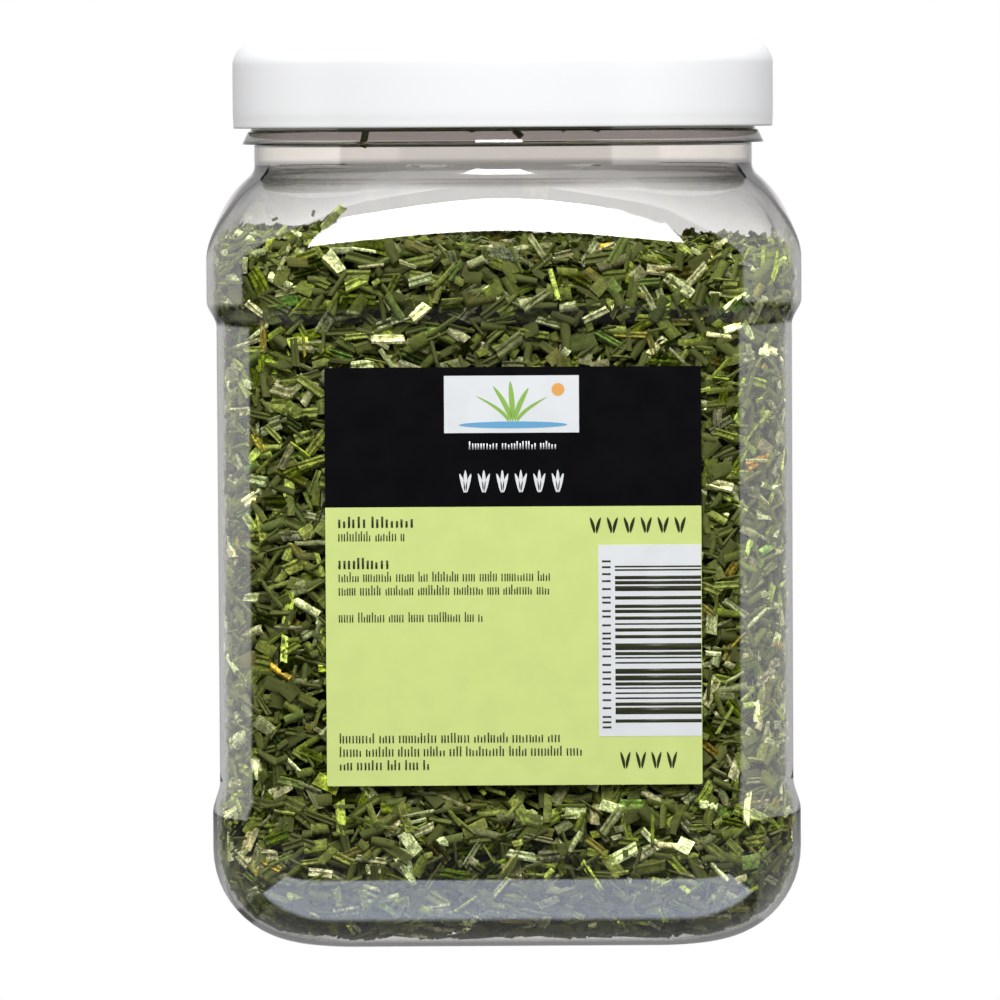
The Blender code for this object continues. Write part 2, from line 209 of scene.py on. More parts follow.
def unite(obj: bpy.types.Object, other: bpy.types.Object) -> None:
    """Fuse a second object into the first, and remove the second.

    Args:
        obj: The object that stays.
        other: The object that is taken in.
    """
    union = obj.modifiers.new("union", "BOOLEAN")
    union.operation = "UNION"
    union.object = other
    apply_modifiers(obj)
    bpy.data.objects.remove(other, do_unlink=True)


def arc(centre: tuple[float, float], radius: float, first: float, last: float, steps: int) -> Outline:
    """Points on a circle in a profile.

    Args:
        centre: The circle's (distance, height).
        radius: The circle's radius.
        first: The first angle above the horizontal, in radians.
        last: The last angle.
        steps: How many steps lie between them.

    Returns:
        The (distance, height) points, both ends included.
    """
    angles = np.linspace(first, last, steps + 1)
    return [(centre[0] + radius * math.cos(a), centre[1] + radius * math.sin(a)) for a in angles]


def ease(start: tuple[float, float], end: tuple[float, float], steps: int) -> Outline:
    """Points on an S-curve in a profile, level with the wall at both ends.

    Args:
        start: The first (distance, height).
        end: The last (distance, height).
        steps: How many steps lie between them.

    Returns:
        The points, both ends included.
    """
    points = []
    for t in np.linspace(0, 1, steps + 1):
        bend = t * t * (3 - 2 * t)
        points.append((start[0] + (end[0] - start[0]) * bend, start[1] + (end[1] - start[1]) * t))
    return points


def braced(rows: np.ndarray, least: float = 0.0015, margin: float = 0.0003) -> np.ndarray:
    """Add sections near both ends of upright stretches, so that smooth shading leaves these straight.

    Args:
        rows: Sections whose first two numbers are distance and height.
        least: The shortest stretch that gets them.
        margin: How far from its ends they lie.

    Returns:
        The sections with the new ones among them.
    """
    result = [rows[0]]
    for before, after in zip(rows, rows[1:]):
        step = after - before
        length = math.hypot(step[0], step[1])
        if length > least and abs(step[0]) < margin / 100:
            result += [before + step * margin / length, after - step * margin / length]
        result.append(after)
    return np.array(result)


def mesh_from_arrays(name: str, points: np.ndarray, faces: list[np.ndarray]) -> bpy.types.Object:
    """Make one object of many merged copies.

    Args:
        name: The new object's name.
        points: The vertices, one row each.
        faces: Arrays of faces, each with one row of vertex numbers a face.

    Returns:
        The new object, linked to the scene.
    """
    mesh = bpy.data.meshes.new(name)
    loops = np.concatenate([block.reshape(-1) for block in faces])
    totals = np.concatenate([np.full(len(block), block.shape[1]) for block in faces])
    starts = np.concatenate([[0], np.cumsum(totals)[:-1]])
    mesh.vertices.add(len(points))
    mesh.vertices.foreach_set("co", points.astype(np.float32).reshape(-1))
    mesh.loops.add(len(loops))
    mesh.loops.foreach_set("vertex_index", loops.astype(np.int32))
    mesh.polygons.add(len(totals))
    mesh.polygons.foreach_set("loop_start", starts.astype(np.int32))
    mesh.update(calc_edges=True)
    obj = bpy.data.objects.new(name, mesh)
    bpy.context.scene.collection.objects.link(obj)
    return obj


# Shader helpers


class Shading:
    """A node tree with short calls to add, feed and combine nodes."""

    def __init__(self, tree: bpy.types.NodeTree) -> None:
        """Keep the node tree to work in.

        Args:
            tree: The node tree.
        """
        self.tree = tree

    def feed(self, node: bpy.types.Node, inputs: dict[str | int, object]) -> None:
        """Set or link some of a node's inputs.

        Args:
            node: The node.
            inputs: A value or a socket for each input's name or number.
        """
        for key, value in inputs.items():
            socket = node.inputs[key]
            if isinstance(value, bpy.types.NodeSocket):
                self.tree.links.new(value, socket)
            else:
                socket.default_value = value

    def node(
        self, kind: str, inputs: dict[str | int, object] | None = None, **settings: object
    ) -> bpy.types.Node:
        """Add a node.

        Args:
            kind: The node's type name, without its Shader prefix.
            inputs: A value or a socket for each input's name or number.
            settings: Properties of the node.

        Returns:
            The new node.
        """
        made = self.tree.nodes.new("ShaderNode" + kind)
        for key, value in settings.items():
            setattr(made, key, value)
        self.feed(made, inputs or {})
        return made

    def group(self, tree: bpy.types.NodeTree, **inputs: object) -> bpy.types.Node:
        """Place a shader group.

        Args:
            tree: The group's tree.
            inputs: Its input values or sockets, with underscores for spaces.

        Returns:
            The group node.
        """
        named = {key.replace("_", " "): value for key, value in inputs.items()}
        return self.node("Group", named, node_tree=tree)

    def math(self, operation: str, first: object, second: object = 0.0) -> bpy.types.NodeSocket:
        """The result of a Math operation on one or two values or sockets."""
        return self.node("Math", {0: first, 1: second}, operation=operation).outputs[0]

    def mix(self, factor: object, first: object, second: object) -> bpy.types.NodeSocket:
        """A number between two others, all values or sockets."""
        return self.node("Mix", {0: factor, 2: first, 3: second}, data_type="FLOAT").outputs[0]

    def mix_colour(self, factor: object, first: object, second: object) -> bpy.types.NodeSocket:
        """A colour between two others, all values or sockets."""
        return self.node("Mix", {0: factor, 6: first, 7: second}, data_type="RGBA").outputs[2]

    def bump(self, height: bpy.types.NodeSocket, strength: float, depth: float) -> bpy.types.NodeSocket:
        """The normal of a surface with a relief."""
        return self.node("Bump", {"Strength": strength, "Distance": depth, "Height": height}).outputs[0]

    def spread(self, value: object, start: float, end: float, low: float = 0.0, high: float = 1.0,
               soft: bool = False) -> bpy.types.NodeSocket:
        """A value's place in a range, spread over another range and held at its ends.

        Args:
            value: The value or socket.
            start: Where the range starts.
            end: Where it ends.
            low: The result at the start.
            high: The result at the end.
            soft: Whether the change eases in and out.

        Returns:
            The result's socket.
        """
        return self.node("MapRange", {
            "Value": value, "From Min": start, "From Max": end, "To Min": low, "To Max": high,
        }, interpolation_type="SMOOTHSTEP" if soft else "LINEAR").outputs[0]

    def ramp(self, factor: object, stops: Sequence[tuple[float, Colour]]) -> bpy.types.NodeSocket:
        """A colour ramp.

        Args:
            factor: The value or socket that it is read at.
            stops: Its positions, in rising order, and their colours.

        Returns:
            The colour's socket.
        """
        made = self.node("ValToRGB", {0: factor})
        elements = made.color_ramp.elements
        while len(elements) < len(stops):
            elements.new(1.0)
        for element, (position, colour) in zip(elements, stops):
            element.position = position
            element.color = (*colour, 1)
        return made.outputs[0]


def new_group(
    name: str, inputs: dict[str, float], outputs: Sequence[str]
) -> tuple[bpy.types.NodeTree, Shading, bpy.types.Node, bpy.types.Node]:
    """Start a shader group with float inputs and outputs.

    Args:
        name: The group's name.
        inputs: Its inputs and their defaults.
        outputs: The names of its outputs.

    Returns:
        The group's tree, a Shading on it, and its group input and output nodes.
    """
    tree = bpy.data.node_groups.new(name, "ShaderNodeTree")
    for key, value in inputs.items():
        socket = tree.interface.new_socket(name=key, in_out="INPUT", socket_type="NodeSocketFloat")
        socket.default_value = value
    for key in outputs:
        tree.interface.new_socket(name=key, in_out="OUTPUT", socket_type="NodeSocketFloat")
    return tree, Shading(tree), tree.nodes.new("NodeGroupInput"), tree.nodes.new("NodeGroupOutput")


def moulded_surface() -> bpy.types.NodeTree:
    """The soft waves and fine pores that moulding leaves on plastic and film.

    Returns:
        A group with the outputs Height, for a bump, and Mask, for a change of shade.
    """
    defaults = {"Wave size": 90.0, "Pore size": 2600.0, "Pores": 0.25}
    tree, shade, given, put = new_group("moulded_surface", defaults, ["Height", "Mask"])
    where = shade.node("TexCoord").outputs["Object"]
    waves = shade.node("TexNoise", {
        "Vector": where, "Scale": given.outputs["Wave size"], "Detail": 2.0, "Roughness": 0.45,
    }).outputs["Fac"]
    pores = shade.node("TexNoise", {
        "Vector": where, "Scale": given.outputs["Pore size"], "Detail": 1.0,
    }).outputs["Fac"]
    height = shade.math("ADD", waves, shade.math("MULTIPLY", pores, given.outputs["Pores"]))
    shade.feed(put, {"Height": height, "Mask": waves})
    return tree


# Finishes


class Finish:
    """What all finishes share: a material with one Principled shader."""

    name: str

    def start(self) -> tuple[bpy.types.Material, Shading, bpy.types.Node]:
        """Begin the material.

        Returns:
            The material, a Shading on its nodes, and its Principled shader.
        """
        material = bpy.data.materials.new(self.name)
        material.use_nodes = True
        return material, Shading(material.node_tree), material.node_tree.nodes["Principled BSDF"]


@dataclass(frozen=True)
class Skin:
    """How moulding or printing varies a surface: its pattern, where the shade changes, and its relief."""

    wave_size: float
    pore_size: float
    pores: float
    change: tuple[float, float]
    bump_strength: float
    bump_depth: float

    def cover(self, shade: Shading, shader: bpy.types.Node, surface: bpy.types.NodeTree,
              shades: Sequence[Colour], roughness: tuple[float, float]) -> None:
        """Vary a shader's colour, roughness and normal.

        Args:
            shade: The material's nodes.
            shader: Its Principled shader.
            surface: The moulded surface group.
            shades: The colours in the waves' hollows and on their crests.
            roughness: The roughness there.
        """
        pattern = shade.group(surface, Wave_size=self.wave_size, Pore_size=self.pore_size, Pores=self.pores)
        mask = pattern.outputs["Mask"]
        shade.feed(shader, {
            "Base Color": shade.ramp(mask, list(zip(self.change, shades))),
            "Roughness": shade.spread(mask, 0.0, 1.0, *roughness),
            "Normal": shade.bump(pattern.outputs["Height"], self.bump_strength, self.bump_depth),
        })


@dataclass(frozen=True)
class ClearPlastic(Finish):
    """Blown clear plastic: glass-like, a little grey, with soft waves in its surface and painted shade in
    bands round its neck.
    """

    name: str = "clear_plastic"
    tint: Colour = (0.935, 0.925, 0.915)
    shadow_tint: Colour = (0.90, 0.895, 0.885)
    ior: float = 1.57
    roughness: float = 0.015
    wave_size: float = 55.0
    wave_depth: float = 0.00025
    wave_strength: float = 0.10
    rim_range: tuple[float, float] = (0.86, 0.97)
    rim_share: float = 0.9
    neck_band_range: tuple[float, float] = (0.120, 0.136)
    # Colours round the neck, by height. The dark bands at the shoulder's fillet and at the bead are painted
    # shade, for the darkness under the lid's edge and from the bent light. The pinkish grey between them is a
    # tint, and the lighter grey above the bead lies on the thicker finish.
    neck_tint_and_shade_rings: tuple[tuple[float, Colour], ...] = (
        (0.1252, (1.0, 1.0, 1.0)), (0.1262, (0.68, 0.67, 0.665)), (0.1290, (0.62, 0.61, 0.60)),
        (0.1296, (0.95, 0.92, 0.89)), (0.1318, (0.95, 0.92, 0.89)), (0.1322, (0.62, 0.58, 0.57)),
        (0.1343, (0.62, 0.58, 0.57)), (0.1348, (0.8, 0.8, 0.8)),
    )

    def build(self, surface: bpy.types.NodeTree) -> bpy.types.Material:
        """Make the material.

        Args:
            surface: The moulded surface group.

        Returns:
            The material. Lamps shine through it unbent, so that the filling is lit evenly.
        """
        material, shade, shader = self.start()
        low, high = self.neck_band_range
        height = shade.node("SeparateXYZ", {0: shade.node("TexCoord").outputs["Object"]}).outputs[2]
        # Painted shade: darker bands round the neck, by height.
        rings = [
            ((at - low) / (high - low), tuple(own * shared for own, shared in zip(colour, self.tint)))
            for at, colour in self.neck_tint_and_shade_rings
        ]
        waves = shade.group(surface, Wave_size=self.wave_size, Pores=0.0)
        shade.feed(shader, {
            "Base Color": shade.ramp(shade.spread(height, low, high), rings),
            "Transmission Weight": 1.0, "IOR": self.ior, "Roughness": self.roughness,
            "Normal": shade.bump(waves.outputs["Height"], self.wave_strength, self.wave_depth),
        })
        path = shade.node("LightPath")
        unbent = shade.math("MAXIMUM", path.outputs["Is Shadow Ray"], path.outputs["Is Diffuse Ray"])
        facing = shade.node("LayerWeight", {"Blend": 0.5}).outputs["Facing"]
        rim = shade.spread(facing, *self.rim_range, high=self.rim_share, soft=True)
        clear = shade.node("BsdfTransparent", {"Color": (*self.shadow_tint, 1)})
        both = shade.node("MixShader", {
            0: shade.math("MAXIMUM", unbent, rim), 1: shader.outputs[0], 2: clear.outputs[0],
        })
        shade.feed(material.node_tree.nodes["Material Output"], {"Surface": both.outputs[0]})
        return material


@dataclass(frozen=True)
class WhitePlastic(Finish):
    """Glossy white moulded plastic, as the lid is made of."""

    name: str = "white_plastic"
    shades: tuple[Colour, Colour] = ((0.878, 0.883, 0.893), (0.88, 0.885, 0.895))
    roughness: tuple[float, float] = (0.27, 0.31)
    skin: Skin = Skin(120.0, 3200.0, 0.2, (0.3, 0.6), 0.04, 0.0002)

    def build(self, surface: bpy.types.NodeTree) -> bpy.types.Material:
        """Make the material.

        Args:
            surface: The moulded surface group.

        Returns:
            The material.
        """
        material, shade, shader = self.start()
        self.skin.cover(shade, shader, surface, self.shades, self.roughness)
        return material


@dataclass(frozen=True)
class Ink(Finish):
    """A printed colour on satin label film, or the bare film or board of that colour."""

    name: str
    colour: Colour
    roughness: float = 0.38
    roughness_change: float = 0.05
    mottle: float = 0.02
    specular: float = 0.3
    skin: Skin = Skin(240.0, 5200.0, 0.6, (0.35, 0.65), 0.08, 0.00006)

    def build(self, surface: bpy.types.NodeTree) -> bpy.types.Material:
        """Make the material.

        Args:
            surface: The moulded surface group.

        Returns:
            The material, with a faint change of shade where the ink lies thinner.
        """
        material, shade, shader = self.start()
        shades = [
            tuple(min(1.0, channel * (1 + change)) for channel in self.colour)
            for change in (-self.mottle, self.mottle)
        ]
        roughness = (self.roughness - self.roughness_change, self.roughness + self.roughness_change)
        self.skin.cover(shade, shader, surface, shades, roughness)
        shade.feed(shader, {"Specular IOR Level": self.specular})
        return material


@dataclass(frozen=True)
class DriedLeaf(Finish):
    """Dried chive leaf: each bit its own green, streaked along its length and pale at its cut ends."""

    name: str = "dried_chives"
    cut_colour: Colour = (0.34, 0.38, 0.13)
    cut_share: float = 0.4
    cut_sharpness: float = 9.0
    roughness: float = 0.6
    specular: float = 0.04
    streak: float = 0.64
    streak_range: tuple[float, float] = (0.78, 1.22)
    streak_scale: Point = (9.0, 0.7, 1.0)
    patch_size: float = 700.0
    grain_size: float = 2400.0
    grain_range: tuple[float, float] = (0.36, 0.64)
    grain: tuple[float, float] = (0.54, 1.52)
    bump_strength: float = 0.5
    bump_depth: float = 0.00012

    def build(self) -> bpy.types.Material:
        """Make the material.

        Returns:
            The material. It reads each bit's colour, its streaks' map and its ends from the mesh.
        """
        material, shade, shader = self.start()
        where = shade.node("TexCoord").outputs["Object"]
        tone = shade.node("Attribute", attribute_name="leaf_tone").outputs["Color"]
        along = shade.node("Attribute", attribute_name="leaf_end").outputs["Fac"]
        flat = shade.node("UVMap", uv_map="leaf").outputs["UV"]
        stretched = shade.node("Mapping", {"Vector": flat, "Scale": self.streak_scale}).outputs["Vector"]
        streaks = shade.node("TexNoise", {"Vector": stretched, "Scale": 1.0, "Detail": 3.0, "Roughness": 0.6})
        patches = shade.node("TexNoise", {"Vector": where, "Scale": self.patch_size, "Detail": 2.0})
        grains = shade.node("TexNoise", {"Vector": where, "Scale": self.grain_size, "Detail": 1.0})
        relief = shade.math("ADD", streaks.outputs["Fac"], patches.outputs["Fac"])
        level = shade.spread(relief, *self.streak_range, 1 - self.streak, 1 + self.streak)
        speck = shade.spread(grains.outputs["Fac"], *self.grain_range, *self.grain)
        strength = shade.math("MULTIPLY", level, speck)
        own = shade.node("VectorMath", {0: tone, "Scale": strength}, operation="SCALE").outputs[0]
        cut = shade.math("MULTIPLY", shade.math("POWER", along, self.cut_sharpness), self.cut_share)
        shade.feed(shader, {
            "Base Color": shade.mix_colour(cut, own, (*self.cut_colour, 1)),
            "Roughness": self.roughness, "Specular IOR Level": self.specular,
            "Normal": shade.bump(relief, self.bump_strength, self.bump_depth),
        })
        return material


@dataclass(frozen=True)
class ShadedLeafDust(Finish):
    """Small leaf deep in the filling, painted near-black as the shade in the gaps between the bits."""

    name: str = "shaded_leaf_dust"
    light: Colour = (0.05, 0.07, 0.018)
    dark: Colour = (0.006, 0.009, 0.003)
    dark_from: float = 0.7
    grain_size: float = 600.0
    roughness: float = 0.9
    bump_strength: float = 0.8
    bump_depth: float = 0.0008

    def build(self) -> bpy.types.Material:
        """Make the material.

        Returns:
            The material.
        """
        material, shade, shader = self.start()
        where = shade.node("TexCoord").outputs["Object"]
        grains = shade.node("TexVoronoi", {"Vector": where, "Scale": self.grain_size}).outputs["Distance"]
        shade.feed(shader, {
            "Base Color": shade.ramp(grains, [(0.0, self.light), (self.dark_from, self.dark)]),
            "Roughness": self.roughness,
            "Normal": shade.bump(grains, self.bump_strength, self.bump_depth),
        })
        return material


def dress(obj: bpy.types.Object, material: bpy.types.Material, body: Body, slot: Slot, *nodes: str) -> None:
    """Give a piece its material and its body, and hide the nodes that it stands for.

    Args:
        obj: The finished piece.
        material: Its material.
        body: The body that it rides on.
        slot: The record's slot that it is finished from. Not used.
        nodes: The CAD nodes that it replaces.
    """
    obj.data.materials.clear()
    obj.data.materials.append(material)
    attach(obj, body.value)
    if nodes:
        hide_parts(*nodes)
    LOG.info("%s: %d faces on %s", obj.name, len(obj.data.polygons), body.value)


# The jar


@dataclass(frozen=True)
class JarShape:
    """The jar's sizes. Half-widths are across the flats, and heights are above the surface it stands on."""

    wall: float = 0.0006
    straight: float = 0.0318
    heel_half: float = 0.0485
    heel_radius: float = 0.0165
    heel_top: float = 0.0224
    waist_half: float = 0.0473
    waist_bottom: float = 0.0275
    waist_top: float = 0.1025
    shoulder_half: float = 0.0489
    shoulder_bottom: float = 0.1066
    shoulder_top: float = 0.1138
    shoulder_radius: float = 0.0170
    shoulder_sweep: float = math.radians(50)
    foot_corner: float = 0.0082
    foot_inner_half: float = 0.0270
    push_half: float = 0.0200
    push_rise: float = 0.0022
    push_top: float = 0.0030
    rounding: float = 1.5
    neck_radius: float = 0.04195
    bead_bottom: float = 0.13215
    bead_edge: float = 0.1323
    bead_top: float = 0.1343
    bead_radius: float = 0.0440
    bead_top_radius: float = 0.0430
    finish_radius: float = 0.0425
    finish_top: float = 0.1464
    bore_radius: float = 0.0405
    rim_round: float = 0.0004
    side_steps: int = 22
    corner_steps: int = 22

    @property
    def facets(self) -> int:
        """The number of points in a section."""
        return 4 * (self.side_steps + self.corner_steps)

    def body(self, inset: float, arc_steps: int = 14, ease_steps: int = 8) -> np.ndarray:
        """The sections from the foot's edge to the neck.

        Args:
            inset: How far inside the outer face they lie.
            arc_steps: Steps in the heel and in the shoulder.
            ease_steps: Steps into and out of the label's recess.

        Returns:
            Rows of half-width, height, half of the flat stretch, and squareness.
        """
        heel_reach = self.heel_radius - inset
        heel_centre = (self.heel_half - self.heel_radius, self.heel_radius)
        heel = arc(heel_centre, heel_reach, -math.pi / 2, 0, arc_steps)
        waist = self.waist_half - inset
        lower = ease((self.heel_half - inset, self.heel_top), (waist, self.waist_bottom), ease_steps)
        upper = ease((waist, self.waist_top), (self.shoulder_half - inset, self.shoulder_bottom), ease_steps)
        centre = (self.shoulder_half - self.shoulder_radius, self.shoulder_top)
        shoulder = arc(centre, self.shoulder_radius - inset, 0, self.shoulder_sweep, arc_steps)
        target = self.neck_radius - inset
        reach = (shoulder[-1][0] - target) / (1 - math.cos(self.shoulder_sweep))
        turn_x = shoulder[-1][0] + reach * math.cos(self.shoulder_sweep)
        turn_z = shoulder[-1][1] + reach * math.sin(self.shoulder_sweep)
        fillet = arc((turn_x, turn_z), reach, math.pi + self.shoulder_sweep, math.pi, 8)[1:]
        foot_straight = self.heel_half - self.heel_radius - self.foot_corner
        rows = []
        for half, height in heel:
            drop = (self.heel_half - inset - half) / heel_reach
            rows.append((half, height, self.straight - drop * (self.straight - foot_straight), 1.0))
        rows += [(half, height, self.straight, 1.0) for half, height in lower + upper]
        for half, height in shoulder + fillet:
            risen = (height - self.shoulder_top) / (fillet[-1][1] - self.shoulder_top)
            rows.append((half, height, self.straight, 1 - risen**self.rounding))
        return np.array(rows)

    def ring(
        self, half: np.ndarray, straight: np.ndarray, squareness: np.ndarray, step: np.ndarray
    ) -> np.ndarray:
        """Places on sections, in plan.

        Args:
            half: Half-widths across the flats.
            straight: Halves of the flat stretch.
            squareness: From 1, a rounded square, to 0, a circle.
            step: Places round the section, counted in facets from the start of the +X face's flat stretch.

        Returns:
            Rows of x and y.
        """
        per_side = self.side_steps + self.corner_steps
        step = np.asarray(step, float) % self.facets
        quadrant, along = np.divmod(step, per_side)
        straight = np.minimum(straight, half)
        corner = half - straight
        bend = math.pi / 2 * np.clip(along - self.side_steps, 0, None) / self.corner_steps
        on_flat = along <= self.side_steps
        flat_x = np.where(on_flat, half, straight + corner * np.cos(bend))
        flat_y = np.where(
            on_flat, straight * (2 * along / self.side_steps - 1), straight + corner * np.sin(bend)
        )
        angle = 2 * math.pi * (along - self.side_steps / 2) / self.facets
        x = half * np.cos(angle) * (1 - squareness) + flat_x * squareness
        y = half * np.sin(angle) * (1 - squareness) + flat_y * squareness
        turned = quadrant * math.pi / 2
        cosine, sine = np.cos(turned), np.sin(turned)
        return np.stack([x * cosine - y * sine, x * sine + y * cosine], -1)

    def ring_points(self, row: Sequence[float]) -> list[Point]:
        """All the points of one section, in space.

        Args:
            row: The section's half-width, height, half of its flat stretch and squareness.

        Returns:
            The points, round the jar.
        """
        half, height, straight, squareness = row
        plan = self.ring(half, straight, squareness, np.arange(self.facets))
        return [(x, y, height) for x, y in plan]


@dataclass
class Jar:
    """The clear jar with its neck, carrying bead and screw thread."""

    shape: JarShape = field(default_factory=JarShape)
    finish: ClearPlastic = field(default_factory=ClearPlastic)
    pitch: float = 0.00508
    thread_height: float = 0.0012
    thread_root: float = 0.0022
    thread_crest: float = 0.0008
    thread_sink: float = 0.0005
    thread_start: float = 0.1386
    thread_run_out: float = math.radians(20)
    thread_soft: float = 0.0002
    thread_steps: int = 144
    bead_soft: float = 0.00008
    throat_heights: tuple[float, ...] = (0.1304, 0.1319)
    bore_start: float = 0.1358
    bore_range: tuple[float, float] = (0.1362, 0.1455)
    push_shares: tuple[float, ...] = (0.08, 0.3, 0.6, 1.0)
    groove: tuple[tuple[float, float], ...] = (
        (0.00, 0.1322), (0.05, 0.1324), (0.90, 0.13248), (0.94, 0.1326), (0.92, 0.1327), (0.885, 0.13285),
        (0.593, 0.1341), (0.546, 0.1343), (0.12, 0.1345), (0.10, 0.1346), (0.10, 0.1352),
    )

    def foot(self, inset: float) -> np.ndarray:
        """The underside's sections, from its pushed-up middle to the ring that the jar stands on.

        Args:
            inset: How far inside the outer surface, 0 for the outer surface itself.

        Returns:
            Rows of half-width, height, half of the flat stretch and squareness.
        """
        shape = self.shape
        rows = []
        for share in self.push_shares:
            rise = shape.push_top + (shape.push_rise - shape.push_top) * share**2
            half = shape.push_half * share
            rows.append((half, rise + inset, max(half - shape.foot_corner, half * 0.3), share))
        for half, height in ease((shape.push_half, shape.push_rise), (shape.foot_inner_half, 0.0), 5)[1:]:
            rows.append((half, height + inset, half - shape.foot_corner, 1.0))
        return np.array(rows)

    def neck(self) -> np.ndarray:
        """The outer neck's sections, from above the shoulder's fillet to the rim.

        Returns:
            Rows of half-width, height, half of the flat stretch and squareness.
        """
        shape = self.shape
        edge = self.bead_soft
        fall = (shape.bead_radius - edge - shape.bead_top_radius) / (shape.bead_top - shape.bead_edge - edge)
        profile = [
            (shape.neck_radius, shape.bead_bottom - 0.00012),
            (shape.neck_radius + 0.00004, shape.bead_bottom - 0.00004),
            (shape.neck_radius + 0.00012, shape.bead_bottom),
            (shape.bead_radius - edge, shape.bead_edge - edge),
            (shape.bead_radius, shape.bead_edge),
            (shape.bead_radius - edge, shape.bead_edge + edge),
            (shape.bead_radius - edge - 2 * edge * fall, shape.bead_edge + 3 * edge),
            (shape.bead_top_radius, shape.bead_top),
            (shape.finish_radius + 0.0002, shape.bead_top + 0.0001),
            (shape.finish_radius, shape.bead_top + 0.0003),
        ]
        for height in np.linspace(shape.bead_top + 0.001, shape.finish_top - shape.rim_round, 8):
            profile.append((shape.finish_radius, height))
        rim = (shape.finish_radius - shape.rim_round, shape.finish_top - shape.rim_round)
        profile += arc(rim, shape.rim_round, 0, math.pi / 2, 4)[1:]
        return np.array([(radius, height, 0.0, 0.0) for radius, height in profile])

    def bore(self) -> np.ndarray:
        """The inner neck's sections, from above the shoulder to the rim.

        Returns:
            Rows of half-width, height, half of the flat stretch and squareness.
        """
        shape = self.shape
        rim = (shape.bore_radius + shape.rim_round, shape.finish_top - shape.rim_round)
        groove = shape.bead_radius - shape.neck_radius
        throat = shape.neck_radius - shape.wall
        profile = [(throat, height) for height in self.throat_heights]
        profile += [(throat + groove * share, height) for share, height in self.groove]
        profile += [(shape.bore_radius + 0.0002, self.bore_start)]
        profile += [(shape.bore_radius, height) for height in np.linspace(*self.bore_range, 4)]
        profile += arc(rim, shape.rim_round, math.pi, math.pi / 2, 4)
        return np.array([(radius, height, 0.0, 0.0) for radius, height in profile])

    def thread(self, radius: float, outwards: bool, start: float) -> bpy.types.Object:
        """A helical rib whose height grows from nothing at both ends.

        Args:
            radius: The wall that it stands on.
            outwards: Whether it stands out of the wall or into it.
            start: The height of its lower end's middle.

        Returns:
            The rib, a closed solid sunk into the wall.
        """
        side = 1 if outwards else -1
        full = 2 * math.pi
        rings = []
        soft = self.thread_soft
        root = radius - side * self.thread_sink
        for angle in np.linspace(0, full, self.thread_steps + 1):
            grown = min(1.0, (min(angle, full - angle) + 0.02) / self.thread_run_out)
            crest = radius + side * self.thread_height * grown
            middle = start + self.pitch * angle / full
            outline = [
                (root, -self.thread_root / 2), (crest - side * soft, -self.thread_crest / 2 - soft),
                (crest, -self.thread_crest / 2), (crest, self.thread_crest / 2),
                (crest - side * soft, self.thread_crest / 2 + soft), (root, self.thread_root / 2),
            ]
            place = angle + math.radians(1.1)
            rings.append([(r * math.cos(place), r * math.sin(place), middle + z) for r, z in outline])
        return loft("thread", rings)

    def build(self, surface: bpy.types.NodeTree) -> bpy.types.Object:
        """Model the jar as one closed wall, and dress it.

        Args:
            surface: The moulded surface group.

        Returns:
            The jar.
        """
        shape = self.shape
        outer = np.vstack([self.foot(0.0), shape.body(0.0), self.neck()])
        inner = np.vstack([self.foot(shape.wall), shape.body(shape.wall), self.bore()])
        rings = [shape.ring_points(row) for row in np.vstack([braced(outer), braced(inner)[::-1]])]
        jar = loft("jar", rings)
        unite(jar, self.thread(shape.finish_radius, True, self.thread_start))
        smooth(jar, math.radians(40))
        dress(jar, self.finish.build(surface), Body.JAR, Slot.CLEAR, "jar_body")
        return jar


# The lid and its wad


@dataclass
class Lid:
    """The white screw lid: smooth skirt, rounded edge, and a thread inside."""

    finish: WhitePlastic = field(default_factory=WhitePlastic)
    radius: float = 0.0455
    bottom: float = 0.1349
    top: float = 0.1494
    edge: float = 0.0040
    panel: float = 0.0014
    bore: float = 0.0444
    rim_step: float = 0.00008
    rim_height: float = 0.0013
    inner_round: float = 0.0008
    thread_drop: float = 0.0016
    dish_radius: float = 0.0365
    dish_depth: float = 0.00025
    gate_radius: float = 0.0012
    gate_depth: float = 0.0001
    dish_rings: tuple[float, ...] = (0.008, 0.016, 0.024, 0.031)
    rim_soft: float = 0.00025
    facets: int = 192

    def profile(self) -> list[tuple[float, float]]:
        """The lid's outline, from the top's middle round the rim to the underside's middle.

        Returns:
            The outline, as (radius, height) points.
        """
        dish = self.top - self.dish_depth
        under = self.top - self.panel
        soft = self.rim_soft
        gate = dish - self.gate_depth
        points = [(0.0, gate), (self.gate_radius * 0.7, gate), (self.gate_radius, dish)]
        points += [(ring, dish) for ring in self.dish_rings]
        points += ease((self.dish_radius, dish), (self.dish_radius + 0.0012, self.top), 5)
        points += arc((self.radius - self.edge, self.top - self.edge), self.edge, math.pi / 2, 0, 16)
        points += [(self.radius, height) for height in np.linspace(self.top - self.edge - 0.002, 0.1385, 4)]
        points += ease((self.radius, self.bottom + 2 * self.rim_height),
                       (self.radius - self.rim_step, self.bottom + self.rim_height / 2), 5)
        rim = (self.radius - self.rim_step - soft, self.bottom + soft)
        points += arc(rim, soft, 0, -math.pi / 2, 3)
        points += arc((self.bore + soft, self.bottom + soft), soft, -math.pi / 2, -math.pi, 3)
        corner = (self.bore - self.inner_round, under - self.inner_round)
        points += arc(corner, self.inner_round, 0, math.pi / 2, 4)
        points += [(0.03, under), (0.015, under), (0.0, under)]
        return points

    def build(self, jar: Jar, surface: bpy.types.NodeTree) -> bpy.types.Object:
        """Model the lid with the thread that matches the jar's, and dress it.

        Args:
            jar: The jar whose thread it screws on.
            surface: The moulded surface group.

        Returns:
            The lid.
        """
        lid = turn("screw_lid", self.profile(), self.facets)
        unite(lid, jar.thread(self.bore, False, jar.thread_start - self.thread_drop))
        smooth(lid, math.radians(40))
        dress(lid, self.finish.build(surface), Body.LID, Slot.WHITE, "lid")
        return lid


